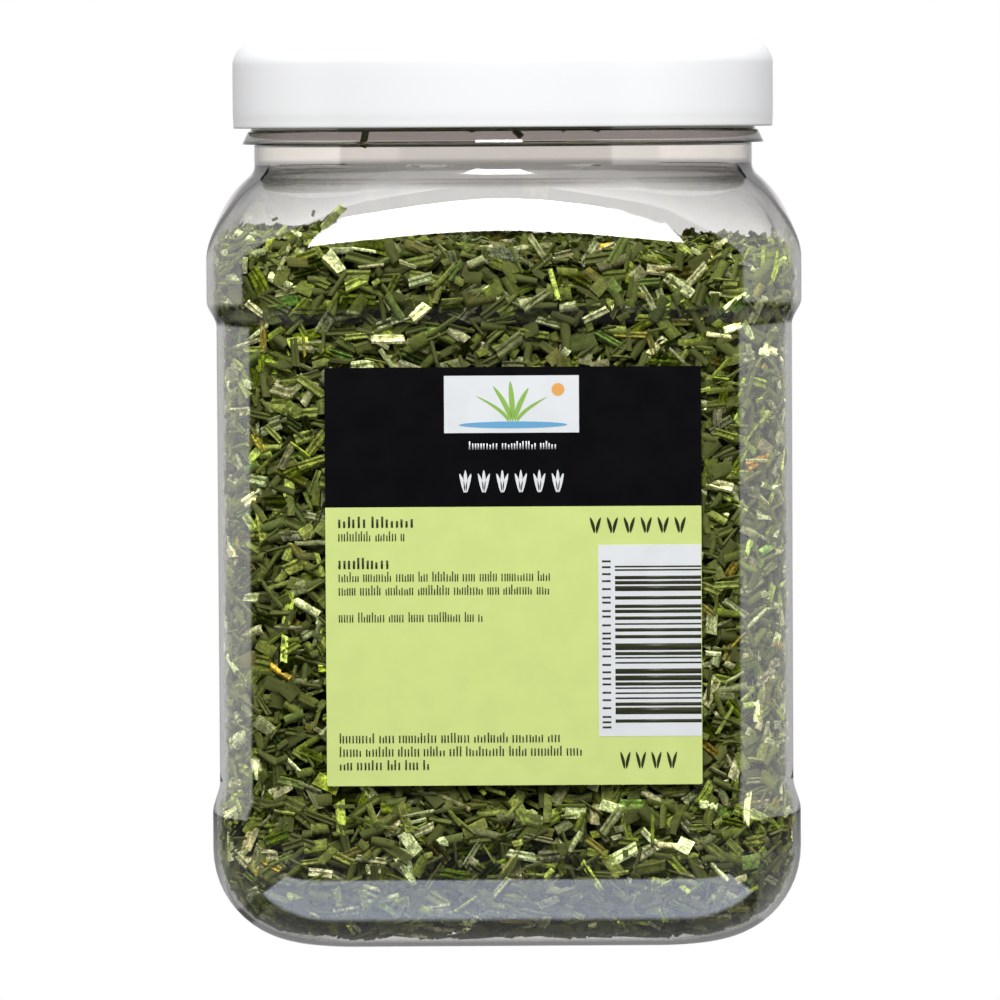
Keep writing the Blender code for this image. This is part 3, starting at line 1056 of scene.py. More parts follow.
@dataclass
class Wad:
    """The sealing wad: a pressed board disc with a rounded edge and a faint ring from the jar's rim."""

    finish: Ink = Ink(name="sealing_wad", colour=(0.78, 0.78, 0.75), roughness=0.6)
    radius: float = 0.0436
    bottom: float = 0.1467
    thick: float = 0.0010
    mark_radius: float = 0.0415
    mark_depth: float = 0.00006
    edge_soft: float = 0.0002
    facets: int = 128

    def build(self, surface: bpy.types.NodeTree) -> bpy.types.Object:
        """Turn the disc and dress it.

        Args:
            surface: The moulded surface group.

        Returns:
            The wad.
        """
        soft = self.edge_soft
        top = self.bottom + self.thick
        points = [(0.0, top), (0.02, top)]
        points += arc((self.radius - soft, top - soft), soft, math.pi / 2, 0, 3)
        points += arc((self.radius - soft, self.bottom + soft), soft, 0, -math.pi / 2, 3)
        pressed = self.bottom + self.mark_depth
        points += [(self.mark_radius + 0.0009, self.bottom), (self.mark_radius + 0.0006, pressed)]
        points += [(self.mark_radius - 0.0006, pressed), (self.mark_radius - 0.0009, self.bottom)]
        points += [(0.02, self.bottom), (0.0, self.bottom)]
        wad = turn("wad", points, self.facets)
        smooth(wad)
        dress(wad, self.finish.build(surface), Body.LINER, Slot.WAD, "lid_liner")
        return wad


# The label


@dataclass(frozen=True)
class Area:
    """A rectangle on the label, in metres from its lower left corner."""

    left: float
    bottom: float
    right: float
    top: float


@dataclass(frozen=True)
class TextLine:
    """A line of ticks that stands for small print: its ends, its foot, and a tick's height and width."""

    left: float
    base: float
    right: float
    size: float
    weight: float


@dataclass(frozen=True)
class SproutRow:
    """A row of small sprouts: its ends, its foot, their height, their number and the leaves of each."""

    left: float
    right: float
    base: float
    height: float
    count: int
    leaves: int


@dataclass
class Label:
    """The printed label: a dark band over a lime field, with generic marks where print would be."""

    front_of_jar: float = -0.0473
    gap: float = 0.00003
    film: float = 0.00012
    print_lift: float = 0.000012
    print_thick: float = 0.00002
    width: float = 0.0611
    bottom: float = 0.0280
    top: float = 0.0961
    offset: float = 0.0013
    corner: float = 0.0004
    band_height: float = 0.0227
    seed: int = 5
    panel: Area = Area(0.0194, 0.0574, 0.0413, 0.0667)
    patch: Area = Area(0.0443, 0.0079, 0.0610, 0.0391)
    bars: Area = Area(0.0470, 0.0101, 0.0610, 0.0366)
    bar_unit: float = 0.000275
    edge_ticks: Area = Area(0.0449, 0.0092, 0.0463, 0.0375)
    edge_tick_height: float = 0.00032
    edge_tick_step: tuple[float, float] = (0.0008, 0.0015)
    tick_heights: tuple[float, ...] = (1.0, 1.0, 1.0, 0.78, 1.34)
    caption: TextLine = TextLine(0.0234, 0.0547, 0.0379, 0.0010, 0.00022)
    lines: tuple[TextLine, ...] = (
        TextLine(0.0021, 0.0421, 0.0146, 0.00135, 0.00036),
        TextLine(0.0021, 0.0399, 0.0131, 0.0012, 0.00020),
        TextLine(0.0021, 0.0354, 0.0110, 0.00135, 0.00036),
        TextLine(0.0021, 0.0333, 0.0365, 0.0012, 0.00020),
        TextLine(0.0021, 0.0311, 0.0365, 0.0012, 0.00020),
        TextLine(0.0021, 0.0267, 0.0258, 0.0012, 0.00020),
        TextLine(0.0021, 0.0070, 0.0382, 0.0012, 0.00024),
        TextLine(0.0021, 0.0048, 0.0417, 0.0012, 0.00024),
        TextLine(0.0021, 0.0026, 0.0166, 0.0012, 0.00028),
    )
    title: SproutRow = SproutRow(0.0213, 0.0393, 0.0477, 0.0037, 6, 3)
    side_rows: tuple[SproutRow, ...] = (
        SproutRow(0.0425, 0.0590, 0.0410, 0.0031, 6, 2),
        SproutRow(0.0473, 0.0574, 0.0026, 0.0033, 4, 2),
    )
    sprig_foot: tuple[float, float] = (0.0306, 0.0592)
    sprig_leaf: float = 0.00045
    sprig_leaves: tuple[tuple[float, float], ...] = (
        (-0.0052, 0.0042), (-0.0028, 0.0058), (-0.0004, 0.0066), (0.0022, 0.0055), (0.0048, 0.0040),
    )
    ground: tuple[float, float] = (0.0088, 0.00055)
    ground_drop: float = 0.0005
    bud_place: tuple[float, float] = (0.0073, 0.0052)
    bud_radius: float = 0.00105
    lime: Ink = Ink(name="lime_film", colour=(0.68, 0.80, 0.272), roughness=0.36)
    black: Ink = Ink(name="black_ink", colour=(0.0028, 0.0025, 0.0036), roughness=0.30, mottle=0.1)
    white: Ink = Ink(name="white_ink", colour=(0.80, 0.83, 0.85), roughness=0.38)
    dark: Ink = Ink(name="dark_ink", colour=(0.03, 0.035, 0.012), roughness=0.42, mottle=0.1)
    green: Ink = Ink(name="green_ink", colour=(0.30, 0.52, 0.10), roughness=0.40)
    blue: Ink = Ink(name="blue_ink", colour=(0.16, 0.42, 0.68), roughness=0.40)
    orange: Ink = Ink(name="orange_ink", colour=(0.85, 0.42, 0.12), roughness=0.40)

    @property
    def left(self) -> float:
        """The label's left edge."""
        return self.offset - self.width / 2

    @property
    def height(self) -> float:
        """The label's height."""
        return self.top - self.bottom

    @property
    def face(self) -> float:
        """The y of the film's front face."""
        return self.front_of_jar - self.gap - self.film

    def ink_face(self, layer: int) -> float:
        """The y of the front of a layer of ink."""
        return self.face - self.print_lift * layer - self.print_thick

    def plate(
        self, name: str, area: Area, front: float, back: float, corner: float = 0.0
    ) -> bpy.types.Object:
        """A thin plate, facing -Y.

        Args:
            name: The plate's name.
            area: Where it lies on the label.
            front: The y of its front.
            back: The y of its back.
            corner: Its corners' radius, or 0 for sharp ones.

        Returns:
            The plate.
        """
        deselect_all()
        centre = (
            self.left + (area.left + area.right) / 2,
            (front + back) / 2,
            self.bottom + (area.bottom + area.top) / 2,
        )
        bpy.ops.mesh.primitive_cube_add(size=1.0, location=(0, 0, 0))
        obj = bpy.context.active_object
        obj.name = obj.data.name = name
        bpy.ops.object.mode_set(mode="EDIT")
        bpy.ops.transform.resize(value=(area.right - area.left, back - front, area.top - area.bottom))
        bpy.ops.transform.translate(value=centre)
        if corner:
            bpy.ops.mesh.select_all(action="DESELECT")
            mesh = bmesh.from_edit_mesh(obj.data)
            for edge in mesh.edges:
                ends = edge.verts[0].co - edge.verts[1].co
                edge.select = abs(ends.y) > abs(ends.x) + abs(ends.z)
            bmesh.update_edit_mesh(obj.data)
            bpy.ops.mesh.select_mode(type="EDGE")
            bpy.ops.mesh.bevel(offset=corner, offset_pct=0, segments=6, affect="EDGES")
        bpy.ops.object.mode_set(mode="OBJECT")
        return obj

    def block(self, name: str, area: Area, layer: int = 1) -> bpy.types.Object:
        """One printed rectangle in a layer of ink."""
        front = self.ink_face(layer)
        return self.plate(name, area, front, front + self.print_thick)

    def marks(self, name: str, areas: Sequence[Area], layer: int = 1) -> bpy.types.Object:
        """Many small printed rectangles as one piece, each a copy of one mark.

        Args:
            name: The piece's name.
            areas: Where the marks lie.
            layer: The layer of ink that they are printed in.

        Returns:
            The piece.
        """
        model = self.block("mark", Area(0, 0, 1, 1), layer)
        corners = np.array([v.co for v in model.data.vertices]) - np.array([self.left, 0, self.bottom])
        faces = np.array([p.vertices[:] for p in model.data.polygons])
        bpy.data.objects.remove(model, do_unlink=True)
        points, blocks = [], []
        for number, area in enumerate(areas):
            size = np.array([area.right - area.left, 1.0, area.top - area.bottom])
            points.append(corners * size + np.array([self.left + area.left, 0, self.bottom + area.bottom]))
            blocks.append(faces + number * len(corners))
        return mesh_from_arrays(name, np.vstack(points), [np.vstack(blocks)])

    def shapes(self, name: str, outlines: Sequence[Outline], layer: int = 1) -> bpy.types.Object:
        """Flat printed shapes from outlines, as one piece.

        Args:
            name: The piece's name.
            outlines: The outlines, in metres from the label's lower left corner.
            layer: The layer of ink that they are printed in.

        Returns:
            The piece.
        """
        front = self.ink_face(layer)
        parts = []
        for outline in outlines:
            rings = [
                [(self.left + x, y, self.bottom + z) for x, z in outline]
                for y in (front, front + self.print_thick)
            ]
            parts.append(loft(name, rings))
        deselect_all()
        for part in parts:
            part.select_set(True)
        bpy.context.view_layer.objects.active = parts[0]
        if len(parts) > 1:
            bpy.ops.object.join()
        parts[0].name = name
        return parts[0]

    def words(self, draw: np.random.Generator, line: TextLine) -> list[Area]:
        """Upright ticks in groups, standing for a line of small print.

        Args:
            draw: The random draw.
            line: The line.

        Returns:
            The ticks.
        """
        ticks = []
        x = line.left
        while x < line.right:
            for _ in range(int(draw.integers(4, 13))):
                if x + line.weight > line.right:
                    break
                tall = draw.choice(self.tick_heights)
                ticks.append(Area(x, line.base, x + line.weight, line.base + tall * line.size))
                x += line.weight + draw.uniform(0.9, 1.5) * line.weight
            x += line.size * 0.45
        return ticks

    def stripes(self, draw: np.random.Generator) -> list[Area]:
        """Lying stripes of mixed widths that encode nothing.

        Args:
            draw: The random draw.

        Returns:
            The stripes.
        """
        made = []
        z = self.bars.bottom
        while z < self.bars.top - 4 * self.bar_unit:
            width = self.bar_unit * draw.choice([1, 1, 2, 2, 3, 4])
            made.append(Area(self.bars.left, z, self.bars.right, z + width))
            z += width + self.bar_unit * draw.choice([1, 1, 2, 2, 3])
        return made

    def side_ticks(self, draw: np.random.Generator) -> list[Area]:
        """Short lying ticks in a column beside the stripes.

        Args:
            draw: The random draw.

        Returns:
            The ticks.
        """
        column = self.edge_ticks
        made = []
        z = column.bottom
        while z < column.top:
            step = draw.uniform(*self.edge_tick_step)
            made.append(Area(column.left, z, column.right, z + self.edge_tick_height))
            z += step
        return made

    def leaf(self, foot: tuple[float, float], half_width: float, height: float, lean: float) -> Outline:
        """The outline of a pointed leaf.

        Args:
            foot: The middle of its foot.
            half_width: Half its greatest width.
            height: Its height.
            lean: How far its tip leans aside.

        Returns:
            The outline, in metres from the label's lower left corner.
        """
        outline = []
        for angle in np.linspace(0, 2 * math.pi, 25)[:-1]:
            t = (1 - math.cos(angle)) / 2
            bulge = math.copysign(abs(math.sin(angle)) ** 1.3, math.sin(angle))
            outline.append((foot[0] + lean * t**1.6 + half_width * bulge, foot[1] + height * t))
        return outline

    def oval(self, middle: tuple[float, float], across: float, up: float) -> Outline:
        """The outline of an oval, from its middle and its two radii."""
        angles = np.linspace(0, 2 * math.pi, 29)[:-1]
        return [(middle[0] + across * math.cos(a), middle[1] + up * math.sin(a)) for a in angles]

    def sprouts(self, row: SproutRow) -> list[Outline]:
        """A row of small sprouts, each of a few leaves that spread from one foot.

        Args:
            row: The row.

        Returns:
            The leaves' outlines.
        """
        step = (row.right - row.left) / row.count
        outlines = []
        for sprout in range(row.count):
            for spread in np.linspace(-1, 1, row.leaves):
                foot = (row.left + (sprout + 0.5) * step + spread * step * 0.07, row.base)
                height = row.height * (1 - 0.16 * abs(spread))
                outlines.append(self.leaf(foot, step * 0.10, height, step * 0.24 * spread))
        return outlines

    def sprig(self, surface: bpy.types.NodeTree) -> None:
        """Print a plain sprig on the white panel: green leaves, blue ground and an orange bud.

        Args:
            surface: The moulded surface group.
        """
        x, z = self.sprig_foot
        leaves = [
            self.leaf((x + lean * 0.15, z), self.sprig_leaf, height, lean)
            for lean, height in self.sprig_leaves
        ]
        ground = self.oval((x, z - self.ground_drop), *self.ground)
        bud = self.oval((x + self.bud_place[0], z + self.bud_place[1]), self.bud_radius, self.bud_radius)
        for name, outlines, layer, ink in (
            ("motif_green", leaves, 2, self.green), ("motif_blue", [ground], 3, self.blue),
            ("motif_orange", [bud], 2, self.orange),
        ):
            dress(self.shapes(name, outlines, layer), ink.build(surface), Body.JAR, Slot.PRINT)

    def backing(self, surface: bpy.types.NodeTree) -> None:
        """Make the film, lime with its dark band above.

        Args:
            surface: The moulded surface group.
        """
        split = self.top - self.band_height
        whole = Area(0, 0, self.width, self.height)
        film = self.plate("label_film", whole, self.face, self.face + self.film, self.corner)
        choose(film)
        bpy.ops.object.mode_set(mode="EDIT")
        bpy.ops.mesh.select_all(action="SELECT")
        bpy.ops.mesh.bisect(plane_co=(0, 0, split), plane_no=(0, 0, 1))
        bpy.ops.object.mode_set(mode="OBJECT")
        dress(film, self.lime.build(surface), Body.JAR, Slot.PRINT, "label")
        film.data.materials.append(self.black.build(surface))
        for face in film.data.polygons:
            face.material_index = int(face.center.z > split)

    def build(self, surface: bpy.types.NodeTree) -> None:
        """Make the film and its print, and dress them.

        Args:
            surface: The moulded surface group.
        """
        draw = np.random.default_rng(self.seed)
        self.backing(surface)
        caption = self.words(draw, self.caption)
        lines = [tick for line in self.lines for tick in self.words(draw, line)]
        lines += self.stripes(draw) + self.side_ticks(draw)
        side_leaves = [leaf for row in self.side_rows for leaf in self.sprouts(row)]
        lights = [
            self.block("label_panel", self.panel), self.block("code_patch", self.patch),
            self.marks("light_marks", caption), self.shapes("light_leaves", self.sprouts(self.title)),
        ]
        darks = [self.marks("dark_marks", lines, 2), self.shapes("dark_leaves", side_leaves, 2)]
        for ink, pieces in ((self.white, lights), (self.dark, darks)):
            material = ink.build(surface)
            for piece in pieces:
                dress(piece, material, Body.JAR, Slot.PRINT)
        self.sprig(surface)


# The filling


PLEATED = (
    (0.5, 0.0), (0.31, 0.46), (0.04, 0.08), (-0.26, 0.42),
    (-0.5, 0.05), (-0.3, -0.4), (0.0, -0.1), (0.3, -0.42),
)
GUTTER = (
    (0.5, -0.35), (0.4, 0.2), (0.0, 0.5), (-0.4, 0.2),
    (-0.5, -0.35), (-0.28, -0.15), (0.0, 0.1), (0.28, -0.15),
)
FLAT = ((0.5, 0.1), (0.26, 0.5), (0.05, 0.2), (-0.22, 0.4), (-0.5, -0.1), (-0.2, -0.4), (0.24, -0.3))
SLIVER = ((0.5, 0.0), (0.15, 0.5), (-0.4, 0.25), (-0.45, -0.3), (0.2, -0.45))
ROUND = (
    (0.5, 0.0), (0.38, 0.36), (0.0, 0.5), (-0.38, 0.36),
    (-0.5, 0.0), (-0.38, -0.36), (0.0, -0.5), (0.38, -0.36),
)


@dataclass(frozen=True)
class BitForm:
    """A way that a dried piece of chive leaf looks, as the ranges of its size and how often it comes."""

    name: str
    length: tuple[float, float]
    width: tuple[float, float]
    thick: tuple[float, float]
    share: float
    section: tuple[tuple[float, float], ...]
    stations: int = 2
    hollow: bool = False


@dataclass(frozen=True)
class Stray:
    """A bit that clings to the wall above the filling, at an (x, z) of the front, and its own colour."""

    place: tuple[float, float]
    size: tuple[float, float, float]
    angle: float
    tone: Colour
    form: str = "crumb"


class Side(Enum):
    """The parts of the filling, each a piece of its own."""

    RIGHT = 0
    BACK = 1
    LEFT = 2
    FRONT = 3
    TOP = 4


@dataclass
class Filling:
    """The dried chives: layers of cut leaf against the wall and on top, over a core painted near-black as
    shade.
    """

    shape: JarShape = field(default_factory=JarShape)
    finish: DriedLeaf = field(default_factory=DriedLeaf)
    shaded_dust: ShadedLeafDust = field(default_factory=ShadedLeafDust)
    clearance: float = 0.00012
    core_depth: float = 0.0046
    top_middle: float = 0.1154
    top_tilt: float = 0.024
    corner_sink: float = 0.0035
    bend_radius: float = 0.0145
    cell: tuple[float, float] = (0.0028, 0.00186)
    layers: int = 3
    layer_depth: float = 0.0010
    top_cell: float = 0.0021
    top_jitter: float = 0.0014
    top_margin: float = 0.0032
    variants: int = 5
    brightness: tuple[float, float] = (0.03, 0.66)
    seed: int = 21
    forms: tuple[BitForm, ...] = (
        BitForm("pleated", (0.0030, 0.0054), (0.0011, 0.0020), (0.0006, 0.0010), 0.27, PLEATED),
        BitForm("bent pleated", (0.0034, 0.0060), (0.0011, 0.0020), (0.0006, 0.0010), 0.14, PLEATED, 3),
        BitForm("gutter", (0.0028, 0.0050), (0.0010, 0.0018), (0.0007, 0.0011), 0.18, GUTTER),
        BitForm("flat", (0.0024, 0.0044), (0.0019, 0.0027), (0.0004, 0.0007), 0.07, FLAT),
        BitForm("sliver", (0.0024, 0.0054), (0.0004, 0.0009), (0.0004, 0.0007), 0.20, SLIVER),
        BitForm("crumb", (0.0010, 0.0020), (0.0008, 0.0014), (0.0004, 0.0007), 0.08, SLIVER),
        BitForm("tube", (0.0024, 0.0042), (0.0015, 0.0022), (0.0011, 0.0016), 0.06, ROUND, 2, True),
    )
    tones: tuple[tuple[Colour, float], ...] = (
        ((0.118, 0.158, 0.010), 0.24),
        ((0.242, 0.300, 0.054), 0.20),
        ((0.565, 0.610, 0.320), 0.165),
        ((0.022, 0.033, 0.001), 0.27),
        ((0.060, 0.105, 0.018), 0.06),
        ((0.160, 0.135, 0.018), 0.05),
        ((0.620, 0.600, 0.330), 0.027),
        ((0.660, 0.420, 0.035), 0.005),
    )
    core_foot: tuple[tuple[float, ...], ...] = ((0.004, 0.0062, 0.001, 0.5), (0.020, 0.0056, 0.0118, 1.0))
    core_top: tuple[tuple[float, float], ...] = ((1.0, 0.0036), (0.97, 0.0024), (0.6, 0.0024), (0.2, 0.0024))
    # Painted shade: bits near this place, at the front below the shoulder, are darkened as if in the shade
    # under the shoulder.
    painted_shade_centre: Point = (0.002, -0.046, 0.108)
    painted_shade_reach: float = 0.016
    painted_shade_depth: float = 0.5
    strays: tuple[Stray, ...] = (
        Stray((-0.0375, 0.1200), (0.0011, 0.0005, 0.0004), 0.3, (0.03, 0.035, 0.01)),
        Stray((-0.0312, 0.1210), (0.0010, 0.0006, 0.0004), 1.2, (0.05, 0.05, 0.02)),
        Stray((-0.0282, 0.1204), (0.0054, 0.0017, 0.0008), 0.75, (0.36, 0.42, 0.16), "gutter"),
        Stray((-0.0231, 0.1331), (0.0026, 0.0013, 0.0006), 1.35, (0.02, 0.028, 0.008), "gutter"),
        Stray((0.0025, 0.1338), (0.0016, 0.0013, 0.0005), -0.8, (0.015, 0.02, 0.008)),
        Stray((-0.0051, 0.1343), (0.0009, 0.0006, 0.0004), 0.1, (0.02, 0.025, 0.01)),
        Stray((0.0101, 0.1343), (0.0009, 0.0005, 0.0004), 0.5, (0.02, 0.025, 0.01)),
        Stray((0.0153, 0.1343), (0.0011, 0.0006, 0.0004), -0.2, (0.025, 0.03, 0.01)),
    )

    def top_height(self, x: np.ndarray, y: np.ndarray) -> np.ndarray:
        """The height of the filling's top surface: tipped down to +X and a little heaped.

        Args:
            x: Places across the jar.
            y: Places from front to back.

        Returns:
            The heights there.
        """
        wave = 0.0007 * np.sin(90 * x + 1.0) * np.cos(70 * y) + 0.0004 * np.sin(210 * x + 160 * y)
        corner = np.clip((np.abs(x) + np.abs(y) - 0.066) / 0.02, 0, 1) * (x > 0)
        return self.top_middle - self.top_tilt * x + wave - self.corner_sink * corner**1.5

    def model_bit(self, form: BitForm, variant: int) -> tuple[np.ndarray, np.ndarray, np.ndarray, np.ndarray]:
        """Model one bit of unit length, width and thickness, slightly bent and twisted.

        Args:
            form: Its form.
            variant: A number that seeds its bend.

        Returns:
            Its vertices, its faces as rows of three, each vertex's streak map, and how near an end each lies.
        """
        draw = np.random.default_rng(1000 + 17 * variant + len(form.name))
        section = np.array(form.section) * draw.uniform(0.85, 1.1, (len(form.section), 2))
        bend, twist = draw.uniform(-0.3, 0.3), draw.uniform(-0.35, 0.35)
        slant = draw.uniform(-0.16, 0.16, 2)
        rings, holes = [], []
        for number, t in enumerate(np.linspace(-1, 1, form.stations)):
            spin = twist * t
            x = t / 2 + (slant[int(t > 0)] * section[:, 0] if abs(t) == 1 else 0 * section[:, 0])
            y = section[:, 0] * math.cos(spin) - section[:, 1] * math.sin(spin) * 0.4
            z = section[:, 1] * math.cos(spin) + section[:, 0] * math.sin(spin) * 0.8
            lift = bend * (1 - t * t) * 1.4
            rings.append([tuple(map(float, place)) for place in zip(x, y, z + lift)])
            holes.append([tuple(map(float, place)) for place in zip(x, y * 0.74, z * 0.66 + lift)])
        obj = loft("bit_model", rings + (holes[::-1] if form.hollow else []), join_ends=form.hollow)
        choose(obj)
        bpy.ops.object.mode_set(mode="EDIT")
        bpy.ops.mesh.select_all(action="SELECT")
        bpy.ops.mesh.quads_convert_to_tris()
        bpy.ops.object.mode_set(mode="OBJECT")
        points = np.array([v.co for v in obj.data.vertices])
        faces = np.array([p.vertices[:] for p in obj.data.polygons])
        bpy.data.objects.remove(obj, do_unlink=True)
        around = points[:, 1] + np.where(points[:, 2] > 0, 0.0, 1.7)
        maps = np.stack([around, points[:, 0] + 0.5], -1)
        ends = np.clip(np.abs(points[:, 0]) * 2, 0, 1)
        return points, faces, maps, ends

    def draw_forms(self, draw: np.random.Generator, count: int) -> tuple[np.ndarray, np.ndarray]:
        """Draw the form and the size of each bit.

        Args:
            draw: The random draw.
            count: How many bits there are.

        Returns:
            Each bit's form, as its number, and its length, width and thickness.
        """
        kind = draw.choice(len(self.forms), count, p=[form.share for form in self.forms])
        size = np.zeros((count, 3))
        for number, form in enumerate(self.forms):
            chosen = kind == number
            for axis, limits in enumerate((form.length, form.width, form.thick)):
                size[chosen, axis] = draw.uniform(*limits, chosen.sum())
        return kind, size

    def wall_frames(self, up: np.ndarray, distance: np.ndarray) -> tuple[np.ndarray, ...]:
        """Places on the inside of the jar's wall and their directions.

        Args:
            up: Distances up the wall from the foot's edge.
            distance: Distances round it from the start of the +X face.

        Returns:
            The places, and unit vectors along the wall, up it and out of it.
        """
        def place(up_at: np.ndarray, distance_at: np.ndarray) -> np.ndarray:
            """The places at distances up and round the wall.

            Args:
                up_at: Distances up the wall.
                distance_at: Distances round it.

            Returns:
                The places.
            """
            half, height, straight, squareness = (
                np.interp(up_at, self.lengths, column) for column in self.rows.T
            )
            straight = np.minimum(straight, half)
            side = 2 * straight
            corner = (half - straight) * math.pi / 2
            quadrant, rest = np.divmod(distance_at, side + corner)
            round_corner = shape.side_steps + shape.corner_steps * (rest - side) / np.maximum(corner, 1e-6)
            along = np.where(rest < side, shape.side_steps * rest / side, round_corner)
            step = quadrant * (shape.side_steps + shape.corner_steps) + along
            return np.column_stack([shape.ring(half, straight, squareness, step), height])

        shape = self.shape
        here = place(up, distance)
        along = place(up, distance + 0.0002) - place(up, distance - 0.0002)
        rise = place(up + 0.0003, distance) - place(up - 0.0003, distance)
        along /= np.linalg.norm(along, axis=1, keepdims=True)
        out = np.cross(along, rise)
        out /= np.linalg.norm(out, axis=1, keepdims=True)
        return here, along, np.cross(out, along), out

    def prepare(self) -> None:
        """Tabulate the inner wall by distance up it, and model the bits."""
        shape = self.shape
        base = [
            (half, shape.wall + rise, half - shape.foot_corner, 1.0)
            for half, rise in ((shape.push_half, shape.push_rise), (shape.foot_inner_half, 0.0))
        ]
        self.rows = np.vstack([base, shape.body(shape.wall)])
        steps = np.hypot(np.diff(self.rows[:, 0]), np.diff(self.rows[:, 1]))
        self.lengths = np.concatenate([[0.0], np.cumsum(np.maximum(steps, 1e-9))])
        self.models = [
            [self.model_bit(form, variant) for variant in range(self.variants)] for form in self.forms
        ]

    def scatter(self, draw: np.random.Generator) -> dict[str, np.ndarray]:
        """Draw the places and directions of all the bits against the wall.

        Args:
            draw: The random draw.

        Returns:
            Arrays of middles, directions and sizes, one row a bit.
        """
        ups, distances, depths = [], [], []
        low = self.lengths[0] + 0.0005
        for layer in range(self.layers):
            for up in np.arange(low, self.lengths[-1], self.cell[1]):
                half, height, straight, _ = (np.interp(up, self.lengths, column) for column in self.rows.T)
                if height > self.top_middle + 0.003:
                    break
                girth = 8 * min(straight, half) + 2 * math.pi * max(half - straight, 0)
                count = int(girth / self.cell[0])
                row = (np.arange(count) + draw.uniform(-0.45, 0.45, count) + 0.5 * layer) * girth / count
                distances.append(row % girth)
                ups.append(np.full(count, up) + draw.uniform(-0.5, 0.5, count) * self.cell[1])
                depths.append(np.full(count, layer))
        up = np.clip(np.concatenate(ups), self.lengths[0], self.lengths[-1])
        distance, layer = np.concatenate(distances), np.concatenate(depths)
        here, along, rise, out = self.wall_frames(up, distance)
        count = len(up)
        kind, size = self.draw_forms(draw, count)
        angle = np.where(
            draw.random(count) < 0.45, draw.normal(0, 0.5, count), draw.uniform(0, math.pi, count)
        )
        tilt = draw.normal(0, 0.10 + 0.14 * layer)
        roll = draw.normal(0, 0.16 + 0.22 * layer)
        main = along * np.cos(angle)[:, None] + rise * np.sin(angle)[:, None]
        across = np.cross(out, main)
        main_tilted = main * np.cos(tilt)[:, None] + out * np.sin(tilt)[:, None]
        flat = out * np.cos(tilt)[:, None] - main * np.sin(tilt)[:, None]
        across_rolled = across * np.cos(roll)[:, None] + flat * np.sin(roll)[:, None]
        normal = flat * np.cos(roll)[:, None] - across * np.sin(roll)[:, None]
        reach = (
            np.abs((main_tilted * out).sum(1)) * size[:, 0] / 2
            + np.abs((across_rolled * out).sum(1)) * size[:, 1] / 2
            + size[:, 2] * 0.75
        )
        depth = self.clearance + reach + layer * self.layer_depth + np.abs(draw.normal(0, 0.00022, count))
        bent = (np.abs(here[:, :2]).min(1) > self.shape.straight) | (here[:, 2] < self.shape.heel_radius)
        depth += np.where(bent, size[:, 0] ** 2 / 8 / self.bend_radius, 0)
        middle = here - out * depth[:, None]
        keep = middle[:, 2] < self.top_height(middle[:, 0], middle[:, 1]) + draw.normal(0, 0.0005, count)
        side = np.floor(((np.degrees(np.arctan2(middle[:, 1], middle[:, 0])) + 45) % 360) / 90).astype(int)
        found = {
            "middle": middle, "main": main_tilted, "across": across_rolled, "normal": normal, "size": size,
            "kind": kind, "side": side, "tone": np.full((count, 3), np.nan),
        }
        return {key: value[keep] for key, value in found.items()}

    def strew_top(self, draw: np.random.Generator) -> dict[str, np.ndarray]:
        """Draw the places and directions of the bits on the top surface.

        Args:
            draw: The random draw.

        Returns:
            The same arrays as scatter gives.
        """
        reach = self.shape.shoulder_half - self.shape.wall
        grid = np.arange(-reach, reach, self.top_cell)
        x, y = (a.reshape(-1) for a in np.meshgrid(grid, grid))
        x, y = np.tile(x, 2), np.tile(y, 2)
        count = len(x)
        x = x + draw.uniform(-self.top_jitter, self.top_jitter, count)
        y = y + draw.uniform(-self.top_jitter, self.top_jitter, count)
        past_x, past_y = (np.clip(np.abs(along) - self.shape.straight, 0, None) for along in (x, y))
        inside = np.hypot(past_x, past_y) < reach - self.shape.straight - self.top_margin
        inside &= np.maximum(abs(x), abs(y)) < reach - self.top_margin
        x, y = x[inside], y[inside]
        count = len(x)
        kind, size = self.draw_forms(draw, count)
        angle = draw.uniform(0, 2 * math.pi, count)
        tilt = draw.normal(0, 0.28, count)
        roll = draw.normal(0, 0.4, count)
        main = np.column_stack([np.cos(angle) * np.cos(tilt), np.sin(angle) * np.cos(tilt), np.sin(tilt)])
        across = np.cross(np.array([0.0, 0.0, 1.0]), main)
        across /= np.linalg.norm(across, axis=1, keepdims=True)
        flat = np.cross(main, across)
        across_rolled = across * np.cos(roll)[:, None] + flat * np.sin(roll)[:, None]
        normal = np.cross(main, across_rolled)
        middle = np.column_stack([x, y, self.top_height(x, y) + draw.uniform(-0.0012, 0.0006, count)])
        return {
            "middle": middle, "main": main, "across": across_rolled, "normal": normal,
            "size": size, "kind": kind,
            "side": np.full(count, Side.TOP.value), "tone": np.full((count, 3), np.nan),
        }

    def cling(self) -> dict[str, np.ndarray]:
        """Place the stray bits on the inside of the front wall, above the filling.

        Returns:
            The same arrays as scatter gives.
        """
        shape = self.shape
        names = [form.name for form in self.forms]
        found = []
        for stray in self.strays:
            x, z = stray.place
            half, straight, squareness = (
                float(np.interp(z, self.rows[2:, 1], self.rows[2:, column])) for column in (0, 2, 3)
            )
            ring = shape.ring(half, straight, squareness, np.arange(shape.facets))
            front = ring[ring[:, 1] < 0]
            order = np.argsort(front[:, 0])
            wall_y = float(np.interp(x, front[order, 0], front[order, 1]))
            out = np.array([x, wall_y, 0.0]) / math.hypot(x, wall_y)
            along = np.array([-out[1], out[0], 0.0])
            main = along * math.cos(stray.angle) + np.array([0, 0, 1]) * math.sin(stray.angle)
            found.append({
                "middle": np.array([x, wall_y, z]) - out * (self.clearance + stray.size[2]), "main": main,
                "across": np.cross(out, main), "normal": out,
                "size": stray.size, "kind": names.index(stray.form),
                "side": Side.TOP.value, "tone": stray.tone,
            })
        return {key: np.array([bit[key] for bit in found]) for key in found[0]}

